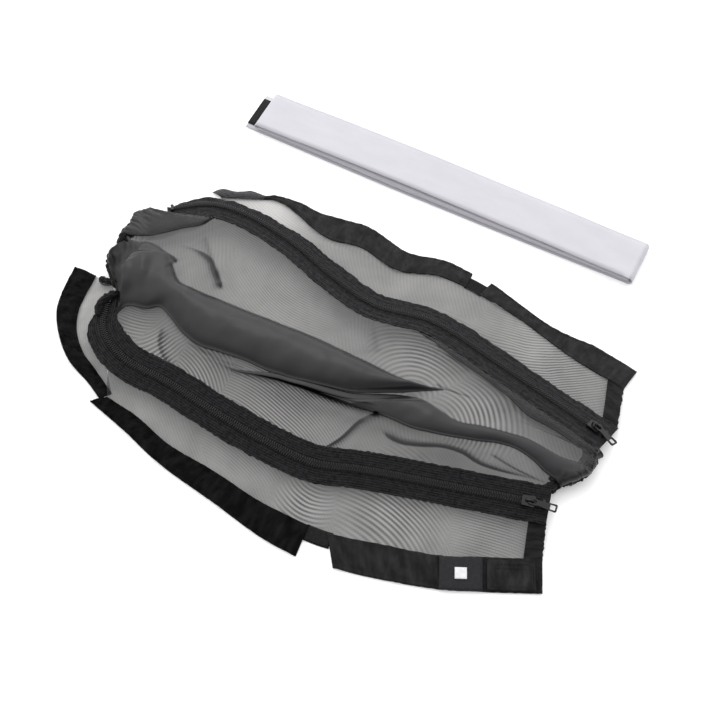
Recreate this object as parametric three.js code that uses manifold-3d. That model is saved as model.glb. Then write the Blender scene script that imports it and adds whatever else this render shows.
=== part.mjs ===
// A sheer mesh fly sheet, laid down on a flat surface, with its two coil zips, its hook-and-loop hem,
// its gathered ends and its folded strip of self-adhesive hook tape.
// Millimetres, +Z up, X along the sheet. Z = 0 is the surface that everything lies on.

import * as THREE from 'three';
import { mergeVertices } from 'three/addons/utils/BufferGeometryUtils.js';
import Module from 'manifold-3d';

const wasm = await Module();
wasm.setup();

// ---- driving dimensions ----

const ORIGIN = [-3.375, 3.865, 0]; // puts the origin under the middle of everything's box

const CLEAR = 0.6; // gap between neighbours that are sewn together
const MESH_THICK = 0.8; // sheer mesh, with its seam allowance
const END_HEM_THICK = 1.4; // mesh folded over twice

const TAPE_HALF = 15; // half the width of a closed zip
const TAPE_THICK = 0.8;
const TAPE_INNER = 1.4; // from the zip's middle line to a tape's woven edge
const COIL_INNER = 1;
const COIL_OUTER = 3.2;
const COIL_BOTTOM = 0.7;
const COIL_TOP = 2.7;
const ZIP_STEPS = 30;
const STOP_LONG = 2.4;
const STOP_GAP = 0.4; // from the coil's end to a stop
const STOP_PROUD = 0.2; // a stop's rise over the coil and its reach past it
const END_BARE = 6; // tape past the coil at each end

// The slider, measured along the chain from its middle, across it, and up from the tapes' middle.
const SLIDER_TAIL = -5.5;
const SLIDER_NOSE = 5;
const SLIDER_TOP_NOSE = 4.6;
const SLIDER_HALF = 4.6;
const SLIDER_PLATE = 1;
const SLIDER_UNDER = -1.9; // the lower plate's underside
const SLIDER_OVER = 3; // the upper plate's underside
const FLANGE = { inside: 3.7, low: 0.8 };
const POST = { from: 1.5, to: 4.2, half: 0.6 };
const CROWN = { from: -2.9, to: 4.3, half: 0.9, leg: 1.2, arch: 6.5, top: 7.5 };
const LAP = 0.2; // how far joined pieces of the slider run into each other

const TAB_PIVOT = [0.7, 5.25]; // along the slider, and up
const TAB_DROOP = 4.5; // degrees below level at rest
const TAB_LONG = 21;
const TAB_THICK = 1;
const TAB_NECK = 2.6; // half the width at the pivot
const TAB_TIP = 3.3; // half the width near the tip
const TAB_BAR = 1.2; // the pin through the crown, and the arms beside it
const TAB_PLATE_FROM = 5;
const TAB_WINDOW = { from: 5.4, to: 1.4, half: 2 }; // from the tip

const HEM_THICK = 1.4; // loop tape
const LABEL_THICK = 0.5;
const LABEL_GAP = 0.3; // from the tape to what is sewn on it
const SIZE_LABEL = { long: 32, wide: 24, x: 165, y: -161.3, turn: 22 };
const CORNER_PATCH = { long: 36, wide: 22, x: 199.5, y: -147.6, turn: 22 };
const PUFF = 11; // rise of the middle panel over the straight line from zip to zip
const PANEL_STEPS = 26;
const PANEL_ACROSS = 8;
const REACH = { left: 32, right: 13 }; // how far the middle panel swells out past its zips' ends
const FOOT = 0.3; // a side panel's lower edge over the ground
const SWELL = 1.5; // a side panel's rise over a straight slope

const CASING_RADIUS = 3.4;
const CASING_WALL = 0.7;
const CASING_STEPS = 14;
const ELASTIC_WIDE = 3.6;
const ELASTIC_THICK = 1.2;

const STRIP_LONG = 357;
const STRIP_TURN = -3.13; // degrees from the X axis
const STRIP_MIDDLE = [22, 160.6];
const STRIP_TAIL = 11; // the lowest lay's end, past the fold above it
const LINER_WIDE = 39;
const LINER_THICK = 0.5;
const HOOK_WIDE = 30;
const HOOK_THICK = 1.4;
const LINER_GAP = 0.3;
const LAY_HEIGHTS = [1.5, 3.9, 7.3, 9.7]; // the middle of each lay of hook tape, lowest first
const FOLD_IN = { right: 5.6, left: 2.7, end: 3 }; // from the strip's ends to its folds' centres
const FOLD_STEPS = 8;

// Each zip's middle line at the height of its tapes: first through points, then straight along its run.
const FRONT_ZIP = {
  inner: 1, // the middle panel is on the left of the line
  tilt: 12,
  slider: 190.7, // where the slider is along X
  points: [[-184, -60, 12], [-173, -88, 12], [-146, -105, 12], [-104, -110.5, 12.5], [-60, -119, 12.5],
    [-10, -126, 12], [30, -127, 11], [62, -118, 10.5]],
  run: [[84, -112.5, 10], [206, -87, 10]],
};
const BACK_ZIP = {
  inner: -1,
  tilt: 16,
  slider: 214.4,
  points: [[-181, 36, 13], [-150, 55, 13], [-118, 58, 12.5], [-70, 48, 12], [-28, 32, 11.5], [14, 21, 11],
    [60, 26, 10.5], [85, 22.7, 10]],
  run: [[110, 16, 10], [228, -15.6, 10]],
};

// Where the hem's tapes meet the mesh, along each side.
const HEM_LINES = {
  left: [[-209, -40], [-206, -73], [-198, -92], [-182, -109], [-166, -118.5], [-150, -129]],
  front: [[-146, -136.5], [-117, -142], [-81, -154], [-40, -160], [0, -168], [47, -171.5], [66, -170.5],
    [100, -164], [145, -154], [176, -141.5], [216, -126]],
  back: [[-150, 68], [-113, 76], [-74, 76], [-46, 72], [-20, 75], [15, 66], [50, 75], [74, 74], [86, 72],
    [126, 63], [153, 54], [178, 46], [224, 36]],
};
const HEM_GAP = 1; // from the tapes to the mesh

// Each tape runs along a share of its hem line, out to its outer edge.
const HEM_TAPES = {
  left_end_hem_tape: {
    line: 'left',
    share: [0, 1],
    outer: [[-229.5, -39], [-223, -80], [-207, -104], [-189, -120], [-166, -131], [-154, -138.5]],
    steps: 12,
  },
  front_hem_tape_left: {
    line: 'front',
    share: [0, 0.525],
    outer: [[-156.5, -145], [-120, -157], [-82, -171], [-27, -184], [19, -195], [47.5, -198]],
    steps: 16,
  },
  front_hem_tape_right: {
    line: 'front',
    share: [0.575, 1],
    outer: [[76.5, -195], [102, -191], [153.5, -179], [186, -167], [225.5, -151]],
    steps: 14,
  },
  back_hem_tape_left: {
    line: 'back',
    share: [0, 0.6],
    outer: [[-154, 82], [-113, 95], [-65, 92], [-22, 96], [17, 86], [50, 91], [74.5, 88]],
    steps: 18,
  },
  back_hem_tape_right: {
    line: 'back',
    share: [0.635, 1],
    outer: [[92, 86], [122, 76], [155, 66], [192, 63], [228.5, 55]],
    steps: 12,
  },
};

// The mesh's own turned hem, which shows in the notches between the tapes.
const TURNED_HEMS = {
  front_turned_hem: { line: 'front', share: [0.528, 0.572], wide: 12 },
  back_turned_hem: { line: 'back', share: [0.603, 0.632], wide: 10 },
};

const GATHERS = { left: [0.1, 0.93], right: [0.06, 0.94] }; // the shares across the middle panel's ends

const COLOURS = {
  mesh: { color: 0x3a393b, roughness: 0.7 },
  zip: { color: 0x1d1c1e, roughness: 0.75 },
  coil: { color: 0x161617, roughness: 0.45 },
  metal: { color: 0x121213, roughness: 0.35, metalness: 0.2 },
  satin: { color: 0x1b1b1d, roughness: 0.5 },
  elastic: { color: 0x141415, roughness: 0.85 },
  hook: { color: 0x111112, roughness: 0.9 },
  liner: { color: 0xdedde4, roughness: 0.45 },
};

// ---- solids from rings and grids of points ----

// A closed body from points and triangles, turned right side out if its volume comes out negative.
function body(points, triangles) {
  let volume = 0;
  for (const [a, b, c] of triangles) {
    volume += points[a].dot(points[b].clone().cross(points[c]));
  }
  const faces = volume < 0 ? triangles.map(([a, b, c]) => [a, c, b]) : triangles;
  const geometry = new THREE.BufferGeometry().setFromPoints(points);
  geometry.setIndex(faces.flat());
  geometry.computeVertexNormals();
  return geometry;
}

// Rings of the same number of points, joined one to the next, with the two end rings closed.
function sweep(rings) {
  const around = rings[0].length;
  const triangles = [];
  for (let i = 0; i + 1 < rings.length; i += 1) {
    for (let k = 0; k < around; k += 1) {
      const a = i * around + k;
      const b = i * around + (k + 1) % around;
      triangles.push([a, b, b + around], [a, b + around, a + around]);
    }
  }
  const last = (rings.length - 1) * around;
  for (let k = 1; k + 1 < around; k += 1) {
    triangles.push([0, k + 1, k], [last, last + k, last + k + 1]);
  }
  return body(rings.flat(), triangles);
}

// A sheet of cloth as a closed slab: rows of points on its underside, raised by its thickness for its top.
function slab(rows, thickness) {
  const long = rows.length;
  const wide = rows[0].length;
  const under = rows.flat();
  const over = under.map((p) => p.clone().setZ(p.z + thickness));
  const top = under.length;
  const triangles = [];
  for (let i = 0; i + 1 < long; i += 1) {
    for (let k = 0; k + 1 < wide; k += 1) {
      const a = i * wide + k;
      const b = a + wide;
      triangles.push([a, b + 1, b], [a, a + 1, b + 1]);
      triangles.push([top + a, top + b, top + b + 1], [top + a, top + b + 1, top + a + 1]);
    }
  }
  const rim = [];
  for (let i = 0; i < long; i += 1) rim.push(i * wide);
  for (let k = 1; k < wide; k += 1) rim.push((long - 1) * wide + k);
  for (let i = long - 2; i >= 0; i -= 1) rim.push(i * wide + wide - 1);
  for (let k = wide - 2; k > 0; k -= 1) rim.push(k);
  rim.forEach((a, i) => {
    const b = rim[(i + 1) % rim.length];
    triangles.push([a, b, top + b], [a, top + b, top + a]);
  });
  return body([...under, ...over], triangles);
}

function toManifold(geometry) {
  const bare = geometry.clone();
  bare.deleteAttribute('normal');
  bare.deleteAttribute('uv');
  const merged = mergeVertices(bare, 1e-4);
  return new wasm.Manifold(new wasm.Mesh({
    numProp: 3,
    vertProperties: new Float32Array(merged.attributes.position.array),
    triVerts: new Uint32Array(merged.index.array),
  }));
}

function fromManifold(manifold) {
  const mesh = manifold.getMesh();
  const geometry = new THREE.BufferGeometry();
  geometry.setAttribute('position', new THREE.BufferAttribute(new Float32Array(mesh.vertProperties), 3));
  geometry.setIndex(new THREE.BufferAttribute(new Uint32Array(mesh.triVerts), 1));
  geometry.computeVertexNormals();
  return geometry;
}

// A box by its lowest and highest corners.
function block([x0, y0, z0], [x1, y1, z1]) {
  const geometry = new THREE.BoxGeometry(x1 - x0, y1 - y0, z1 - z0);
  return geometry.translate((x0 + x1) / 2, (y0 + y1) / 2, (z0 + z1) / 2);
}

function union(...geometries) {
  return fromManifold(geometries.map(toManifold).reduce((sum, next) => sum.add(next)));
}

// ---- guide lines ----

function spline(points) {
  const through = points.map(([x, y, z = 0]) => new THREE.Vector3(x, y, z));
  return new THREE.CatmullRomCurve3(through, false, 'centripetal');
}

function spread(curve, steps, from = 0, to = 1) {
  return Array.from({ length: steps + 1 }, (_, i) => curve.getPointAt(from + (to - from) * i / steps));
}

// Evenly spaced points on the run keep it straight.
function zipLine({ points, run: [from, to] }) {
  const run = [0, 0.25, 0.5, 0.75, 1].map((share) => (
    from.map((start, axis) => start + (to[axis] - start) * share)));
  return spline([...points, ...run]);
}

const FRONT_LINE = zipLine(FRONT_ZIP);
const BACK_LINE = zipLine(BACK_ZIP);

// The shares of a zip and of its hem line that each piece beside the zips spans.
const FRONT_SIDE = { zip: FRONT_ZIP, line: FRONT_LINE, hem: 'front' };
const BACK_SIDE = { zip: BACK_ZIP, line: BACK_LINE, hem: 'back' };
const LEFT_SIDE = { zip: FRONT_ZIP, line: FRONT_LINE, hem: 'left' };
const SINGLE = { steps: 30, hemShare: [0, 0.963], thick: MESH_THICK };
const END_HEM = { steps: 1, zipShare: [0.9725, 0.999], hemShare: [0.966, 0.998], thick: END_HEM_THICK };
const SIDE_PIECES = {
  front_side_panel: { ...FRONT_SIDE, ...SINGLE, zipShare: [0.142, 0.97] },
  back_side_panel: { ...BACK_SIDE, ...SINGLE, zipShare: [0.06, 0.97] },
  left_end_panel: { ...LEFT_SIDE, ...SINGLE, steps: 12, zipShare: [0.004, 0.136], hemShare: [0, 1] },
  front_end_hem: { ...FRONT_SIDE, ...END_HEM },
  back_end_hem: { ...BACK_SIDE, ...END_HEM },
};

// The zip's axes at a share of its length: u along it, v to its left across the tapes, w up out of the tapes.
function axesAt(zip, line, share) {
  const origin = line.getPointAt(share);
  const u = line.getTangentAt(share);
  const flat = new THREE.Vector3(-u.y, u.x, 0).normalize();
  const roll = THREE.MathUtils.degToRad(zip.tilt * zip.inner);
  const v = flat.applyAxisAngle(u, roll);
  const w = new THREE.Vector3().crossVectors(u, v);
  return { origin, u, v, w };
}

function place({ origin, u, v, w }, along, across, up) {
  return origin.clone().addScaledVector(u, along).addScaledVector(v, across).addScaledVector(w, up);
}

function stations(zip, line, steps, from = 0, to = 1) {
  return Array.from({ length: steps + 1 }, (_, i) => axesAt(zip, line, from + (to - from) * i / steps));
}

// A bar of rectangular section along the zip. Distances across are measured towards the middle panel.
function zipBar(zip, line, [v0, v1], [w0, w1], from, to) {
  const side = zip.inner;
  const ring = (axes) => [
    place(axes, 0, side * v0, w0),
    place(axes, 0, side * v1, w0),
    place(axes, 0, side * v1, w1),
    place(axes, 0, side * v0, w1),
  ];
  return sweep(stations(zip, line, ZIP_STEPS, from, to).map(ring));
}

// ---- zips ----

// A block and its mirror image, from one distance across to another.
function pair([x0, y0, z0], [x1, y1, z1]) {
  return [block([x0, y0, z0], [x1, y1, z1]), block([x0, -y1, z0], [x1, -y0, z1])];
}

function sliderBody() {
  const over = SLIDER_OVER + SLIDER_PLATE;
  const bottom = block([SLIDER_TAIL, -SLIDER_HALF, SLIDER_UNDER],
    [SLIDER_NOSE, SLIDER_HALF, SLIDER_UNDER + SLIDER_PLATE]);
  const top = block([SLIDER_TAIL, -SLIDER_HALF, SLIDER_OVER], [SLIDER_TOP_NOSE, SLIDER_HALF, over]);
  const flanges = pair([SLIDER_TAIL, FLANGE.inside, FLANGE.low],
    [SLIDER_TOP_NOSE, SLIDER_HALF, SLIDER_OVER + LAP]);
  const post = block([POST.from, -POST.half, SLIDER_UNDER + SLIDER_PLATE - LAP],
    [POST.to, POST.half, SLIDER_OVER + LAP]);
  const legTop = CROWN.arch + LAP;
  const leg = (from) => block([from, -CROWN.half, over - LAP], [from + CROWN.leg, CROWN.half, legTop]);
  const arch = block([CROWN.from, -CROWN.half, CROWN.arch], [CROWN.to, CROWN.half, CROWN.top]);
  return union(bottom, top, ...flanges, post, leg(CROWN.from), leg(CROWN.to - CROWN.leg), arch);
}

// The pull tab about its own pivot, pointing along +X.
function pullTab() {
  const half = TAB_THICK / 2;
  const bar = block([-TAB_BAR / 2, -TAB_NECK, -half], [TAB_BAR / 2, TAB_NECK, half]);
  const arms = pair([-TAB_BAR / 2, TAB_NECK - TAB_BAR, -half], [TAB_PLATE_FROM + TAB_BAR, TAB_NECK, half]);
  const plate = new THREE.Shape([
    new THREE.Vector2(TAB_PLATE_FROM, -TAB_NECK),
    new THREE.Vector2(TAB_LONG - 1, -TAB_TIP),
    new THREE.Vector2(TAB_LONG, 1 - TAB_TIP),
    new THREE.Vector2(TAB_LONG, TAB_TIP - 1),
    new THREE.Vector2(TAB_LONG - 1, TAB_TIP),
    new THREE.Vector2(TAB_PLATE_FROM, TAB_NECK),
  ]);
  const near = TAB_LONG - TAB_WINDOW.from;
  const far = TAB_LONG - TAB_WINDOW.to;
  plate.holes.push(new THREE.Path([
    new THREE.Vector2(near, -TAB_WINDOW.half),
    new THREE.Vector2(near, TAB_WINDOW.half),
    new THREE.Vector2(far, TAB_WINDOW.half),
    new THREE.Vector2(far, -TAB_WINDOW.half),
  ]));
  const flat = new THREE.ExtrudeGeometry(plate, { depth: TAB_THICK, bevelEnabled: false });
  return union(bar, ...arms, flat.translate(0, 0, -half));
}

// The share of the zip's length at which its straight stretch passes a given X.
function shareAtX(line, x) {
  let low = 0.5;
  let high = 1;
  for (let i = 0; i < 40; i += 1) {
    const middle = (low + high) / 2;
    if (line.getPointAt(middle).x < x) low = middle;
    else high = middle;
  }
  return low;
}

function turned(geometry, { origin, u, v, w }) {
  return geometry.applyMatrix4(new THREE.Matrix4().makeBasis(u, v, w).setPosition(origin));
}

function addZip(group, name, zip, line) {
  const length = line.getLength();
  const coilFrom = END_BARE / length;
  const coilTo = 1 - coilFrom;
  const gap = STOP_GAP / length;
  const stop = STOP_LONG / length;
  const coilAcross = [COIL_INNER, COIL_OUTER];
  const tapeAcross = [TAPE_INNER, TAPE_HALF];
  const tapeUp = [-TAPE_THICK / 2, TAPE_THICK / 2];
  const stopTop = COIL_TOP + STOP_PROUD;
  for (const [side, sign] of [['inner', 1], ['outer', -1]]) {
    const across = (range) => (sign > 0 ? range : [-range[1], -range[0]]);
    add(group, `${name}_${side}_tape`, zipBar(zip, line, across(tapeAcross), tapeUp, 0, 1), 'zip');
    add(group, `${name}_${side}_coil`, zipBar(zip, line, across(coilAcross), [COIL_BOTTOM, COIL_TOP],
      coilFrom, coilTo), 'coil');
    const axes = axesAt(zip, line, coilTo + gap + stop / 2);
    const ends = across([COIL_INNER, COIL_OUTER + STOP_PROUD]).map((v) => v * zip.inner);
    add(group, `${name}_${side}_top_stop`, turned(block([-STOP_LONG / 2, Math.min(...ends), COIL_BOTTOM],
      [STOP_LONG / 2, Math.max(...ends), stopTop]), axes), 'metal');
  }
  const start = axesAt(zip, line, coilFrom - gap - stop / 2);
  const stopHalf = COIL_OUTER + STOP_PROUD;
  add(group, `${name}_bottom_stop`, turned(block([-STOP_LONG / 2, -stopHalf, COIL_BOTTOM],
    [STOP_LONG / 2, stopHalf, stopTop]), start), 'metal');
  const axes = axesAt(zip, line, shareAtX(line, zip.slider));
  add(group, `${name}_slider`, turned(sliderBody(), axes), 'metal');
  const tab = pullTab().rotateY(THREE.MathUtils.degToRad(TAB_DROOP)).translate(TAB_PIVOT[0], 0, TAB_PIVOT[1]);
  add(group, `${name}_pull_tab`, turned(tab, axes), 'metal');
}

// ---- hem ----

// A flat strip on the ground between two lines of points.
function groundStrip(outer, inner, height) {
  return sweep(outer.map((p, i) => [
    p,
    inner[i],
    inner[i].clone().setZ(height),
    p.clone().setZ(height),
  ]));
}

function hemTape({ line, share, outer, steps }) {
  const inner = spread(spline(HEM_LINES[line]), steps, ...share);
  return groundStrip(spread(spline(outer), steps), inner, HEM_THICK);
}

// Points beside a hem line: towards the mesh where the distance is above 0, and outwards below it.
function besideHem(line, distance, steps, from = 0, to = 1) {
  const curve = spline(HEM_LINES[line]);
  const side = line === 'back' ? -1 : 1;
  return Array.from({ length: steps + 1 }, (_, i) => {
    const share = from + (to - from) * i / steps;
    const along = curve.getTangentAt(share);
    return curve.getPointAt(share).addScaledVector(new THREE.Vector3(-along.y, along.x, 0), side * distance);
  });
}

function turnedHem({ line, share, wide }) {
  return groundStrip(besideHem(line, -wide, 2, ...share), besideHem(line, 0, 2, ...share), MESH_THICK);
}

// A flat patch sewn on the front hem's right-hand tape.
function hemPatch({ long, wide, x, y, turn }) {
  return block([-long / 2, -wide / 2, 0], [long / 2, wide / 2, LABEL_THICK])
    .rotateZ(THREE.MathUtils.degToRad(turn))
    .translate(x, y, HEM_THICK + LABEL_GAP);
}

// ---- mesh panels ----

function between(a, b, share, lift) {
  const p = a.clone().lerp(b, share);
  p.z += lift;
  return p;
}

// A side panel runs from a zip's outer edge down to the mesh's own lower edge.
function sidePanel({ zip, line, hem, steps, zipShare, hemShare, thick }) {
  const low = besideHem(hem, HEM_GAP, steps, ...hemShare);
  return slab(stations(zip, line, steps, ...zipShare).map((axes, i) => {
    const high = place(axes, 0, -zip.inner * (TAPE_HALF + CLEAR), -MESH_THICK / 2);
    const foot = low[i].setZ(FOOT);
    return [0, 1 / 3, 2 / 3, 1].map((share) => between(high, foot, share, SWELL * Math.sin(Math.PI * share)));
  }), thick);
}

// How far the middle panel reaches out past the zips' ends, at a share across it.
function reach(along, amount, near) {
  return amount * Math.max(0, 1 - along / near) ** 2;
}

function centrePoint(front, back, along, across) {
  const arch = Math.sin(Math.PI * across);
  const full = Math.min(1, 0.45 + 3 * Math.min(along, 1 - along));
  const p = between(front, back, across, PUFF * arch * full);
  p.x += arch * (reach(1 - along, REACH.right, 0.12) - reach(along, REACH.left, 0.2));
  return p;
}

function centreRows() {
  const inner = (zip) => (axes) => place(axes, 0, zip.inner * (TAPE_HALF + CLEAR), -MESH_THICK / 2);
  const front = stations(FRONT_ZIP, FRONT_LINE, PANEL_STEPS).map(inner(FRONT_ZIP));
  const back = stations(BACK_ZIP, BACK_LINE, PANEL_STEPS).map(inner(BACK_ZIP));
  return front.map((p, i) => Array.from({ length: PANEL_ACROSS + 1 }, (_, k) => (
    centrePoint(p, back[i], i / PANEL_STEPS, k / PANEL_ACROSS))));
}

// ---- gathered ends ----

function circle(radius, sides) {
  return Array.from({ length: sides }, (_, i) => new THREE.Vector2(
    radius * Math.cos(2 * Math.PI * i / sides), radius * Math.sin(2 * Math.PI * i / sides)));
}

// A line beside one of the middle panel's ends, clear of the casing's radius, between two shares across it.
function besideEnd(end, from, to) {
  const side = end === 'right' ? 1 : -1;
  const row = end === 'right' ? PANEL_STEPS : 0;
  const edge = spline(centreRows()[row].map((p) => p.toArray()));
  return Array.from({ length: 6 }, (_, i) => {
    const share = from + (to - from) * i / 5;
    const along = edge.getTangentAt(share);
    const out = new THREE.Vector3(along.y, -along.x, 0).normalize();
    return edge.getPointAt(share).addScaledVector(out, side * (CASING_RADIUS + 2 * CLEAR)).toArray();
  });
}

function addGather(group, name, points) {
  const line = spline(points);
  const options = { steps: CASING_STEPS, extrudePath: line, bevelEnabled: false };
  const ring = new THREE.Shape(circle(CASING_RADIUS, 8));
  ring.holes.push(new THREE.Path(circle(CASING_RADIUS - CASING_WALL, 8).reverse()));
  add(group, `${name}_gather_casing`, new THREE.ExtrudeGeometry(ring, options), 'mesh');
  const band = new THREE.Shape([
    new THREE.Vector2(-ELASTIC_WIDE / 2, -ELASTIC_THICK / 2),
    new THREE.Vector2(ELASTIC_WIDE / 2, -ELASTIC_THICK / 2),
    new THREE.Vector2(ELASTIC_WIDE / 2, ELASTIC_THICK / 2),
    new THREE.Vector2(-ELASTIC_WIDE / 2, ELASTIC_THICK / 2),
  ]);
  add(group, `${name}_elastic`, new THREE.ExtrudeGeometry(band, options), 'elastic');
}

// ---- folded strip ----

// The strip's path seen from its long side: points with the direction to its outer, lined face.
// It runs right along the lowest lay, over to the top one, back, and then in and back again between them.
function stripPath() {
  const [low, second, third, top] = LAY_HEIGHTS;
  const right = STRIP_LONG / 2 - FOLD_IN.right;
  const left = -STRIP_LONG / 2 + FOLD_IN.left;
  const path = [];
  const arc = (x, z, radius, from, to, facing) => {
    for (let i = 0; i <= FOLD_STEPS; i += 1) {
      const angle = THREE.MathUtils.degToRad(from + (to - from) * i / FOLD_STEPS);
      const out = [Math.cos(angle), Math.sin(angle)];
      path.push({ at: [x + radius * out[0], z + radius * out[1]], out: out.map((c) => c * facing) });
    }
  };
  path.push({ at: [left - STRIP_TAIL, low], out: [0, -1] });
  arc(right, (low + top) / 2, (top - low) / 2, -90, 90, 1);
  arc(left, (third + top) / 2, (top - third) / 2, 90, 270, 1);
  arc(right, (second + third) / 2, (third - second) / 2, 90, -90, -1);
  path.push({ at: [left + FOLD_IN.end, second], out: [0, 1] });
  return path;
}

function stripLayer(inside, outside, wide) {
  const path = stripPath();
  const edge = (offset) => path.map(({ at, out }) => (
    new THREE.Vector2(at[0] + offset * out[0], at[1] + offset * out[1])));
  const shape = new THREE.Shape([...edge(outside), ...edge(inside).reverse()]);
  return new THREE.ExtrudeGeometry(shape, { depth: wide, bevelEnabled: false })
    .translate(0, 0, -wide / 2)
    .rotateX(Math.PI / 2)
    .rotateZ(THREE.MathUtils.degToRad(STRIP_TURN))
    .translate(...STRIP_MIDDLE, 0);
}

// ---- assembly ----

function add(group, name, geometry, look) {
  const mesh = new THREE.Mesh(geometry, new THREE.MeshStandardMaterial(COLOURS[look]));
  mesh.name = name;
  group.add(mesh);
}

const sheet = new THREE.Group();
sheet.position.set(...ORIGIN);

add(sheet, 'centre_panel', slab(centreRows(), MESH_THICK), 'mesh');
for (const [name, piece] of Object.entries(SIDE_PIECES)) {
  add(sheet, name, sidePanel(piece), piece.thick > MESH_THICK ? 'satin' : 'mesh');
}

addZip(sheet, 'front_zip', FRONT_ZIP, FRONT_LINE);
addZip(sheet, 'back_zip', BACK_ZIP, BACK_LINE);

for (const [name, tape] of Object.entries(HEM_TAPES)) {
  add(sheet, name, hemTape(tape), 'satin');
}
for (const [name, hem] of Object.entries(TURNED_HEMS)) {
  add(sheet, name, turnedHem(hem), 'mesh');
}
add(sheet, 'size_label', hemPatch(SIZE_LABEL), 'satin');
add(sheet, 'corner_patch', hemPatch(CORNER_PATCH), 'satin');

for (const [end, shares] of Object.entries(GATHERS)) {
  addGather(sheet, end, besideEnd(end, ...shares));
}

const LINER_INSIDE = HOOK_THICK / 2 + LINER_GAP;
add(sheet, 'hook_tape', stripLayer(-HOOK_THICK / 2, HOOK_THICK / 2, HOOK_WIDE), 'hook');
add(sheet, 'release_liner', stripLayer(LINER_INSIDE, LINER_INSIDE + LINER_THICK, LINER_WIDE), 'liner');

export default sheet;
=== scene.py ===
"""A sheer mesh fly sheet with two coil zips, its hem tapes, gathered ends and folded strip of hook tape.

The design's guide lines are repeated here in millimetres, in the sheet's own frame, and every piece is
built on them by a short function. ORIGIN takes that frame to the CAD's.
"""

import math

import bmesh
import bpy
import numpy as np
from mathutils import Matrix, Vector, noise


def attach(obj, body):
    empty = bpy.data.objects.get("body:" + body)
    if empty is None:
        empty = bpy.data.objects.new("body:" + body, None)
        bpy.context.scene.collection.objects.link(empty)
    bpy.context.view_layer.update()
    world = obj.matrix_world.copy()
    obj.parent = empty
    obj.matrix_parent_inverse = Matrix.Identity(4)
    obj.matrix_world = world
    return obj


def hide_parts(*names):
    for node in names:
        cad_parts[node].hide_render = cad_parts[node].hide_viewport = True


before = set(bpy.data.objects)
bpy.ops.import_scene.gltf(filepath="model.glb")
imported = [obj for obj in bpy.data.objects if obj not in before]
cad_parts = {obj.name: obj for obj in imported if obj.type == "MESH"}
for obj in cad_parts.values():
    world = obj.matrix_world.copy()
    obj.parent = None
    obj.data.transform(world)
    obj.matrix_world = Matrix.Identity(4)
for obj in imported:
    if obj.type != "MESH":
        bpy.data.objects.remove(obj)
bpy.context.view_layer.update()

# ---- the design's driving dimensions, in millimetres ----

MM = 0.001
ORIGIN = np.array([-3.375, 3.865, 0.0])

TAPE_EDGE = 0.1  # from the chain's middle line to a tape's woven edge
TAPE_HALF = 15.0
TAPE_THICK = 0.8
HEM_THICK = 1.4
END_BARE = 6.0

FRONT_ZIP = {
    "name": "front_zip", "inner": 1, "tilt": 12, "slider_x": 190.7, "turned_under": (0.3, 1.0, 60),
    "points": [(-184, -60, 12), (-173, -88, 12), (-146, -105, 12), (-104, -110.5, 12.5),
               (-60, -119, 12.5), (-10, -126, 12), (30, -127, 11), (62, -118, 10.5)],
    "run": [(84, -112.5, 10), (206, -87, 10)],
}
BACK_ZIP = {
    "name": "back_zip", "inner": -1, "tilt": 16, "slider_x": 214.4, "turned_under": (0.25, 0.7, 110),
    "points": [(-181, 36, 13), (-150, 55, 13), (-118, 58, 12.5), (-70, 48, 12), (-28, 32, 11.5),
               (14, 21, 11), (60, 26, 10.5), (85, 22.7, 10)],
    "run": [(110, 16, 10), (228, -15.6, 10)],
}

HEM_LINES = {
    "left": [(-209, -40), (-206, -73), (-198, -92), (-182, -109), (-166, -118.5), (-144, -132)],
    "front": [(-146, -136.5), (-117, -142), (-81, -154), (-40, -160), (0, -168), (47, -171.5),
              (66, -170.5), (100, -164), (145, -154), (176, -141.5), (216, -126)],
    "back": [(-150, 73.5), (-126, 82), (-108, 89), (-96, 88), (-80, 82.5), (-62, 75), (-46, 72),
             (-20, 75), (15, 66), (50, 75), (74, 74), (86, 72), (126, 63), (153, 54), (178, 46), (224, 36)],
}
HEM_TAPES = {
    "left_end_hem_tape": ("left", (0, 1),
                          [(-229.5, -39), (-223, -80), (-207, -104), (-189, -120), (-166, -131),
                           (-150, -140.5)]),
    "front_hem_tape_left": ("front", (0, 0.525), [(-156.5, -145), (-120, -157), (-82, -171), (-27, -184),
                                                  (19, -195), (47.5, -198)]),
    "front_hem_tape_right": ("front", (0.565, 1), [(76.5, -195), (102, -191), (153.5, -179), (186, -167),
                                                   (225.5, -151)]),
    "back_hem_tape_left": ("back", (0.085, 0.6),
                           [(-121, 87), (-112, 92.5), (-102, 95), (-86, 95.5), (-65, 93), (-22, 96),
                            (17, 86), (50, 91), (74.5, 88)]),
    "back_hem_tape_right": ("back", (0.635, 1), [(92, 86), (122, 76), (155, 66), (192, 63), (228.5, 55)]),
}
TURNED_HEMS = {"front_turned_hem": ("front", (0.522, 0.578), 12),
               "back_turned_hem": ("back", (0.597, 0.638), 10)}

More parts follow.
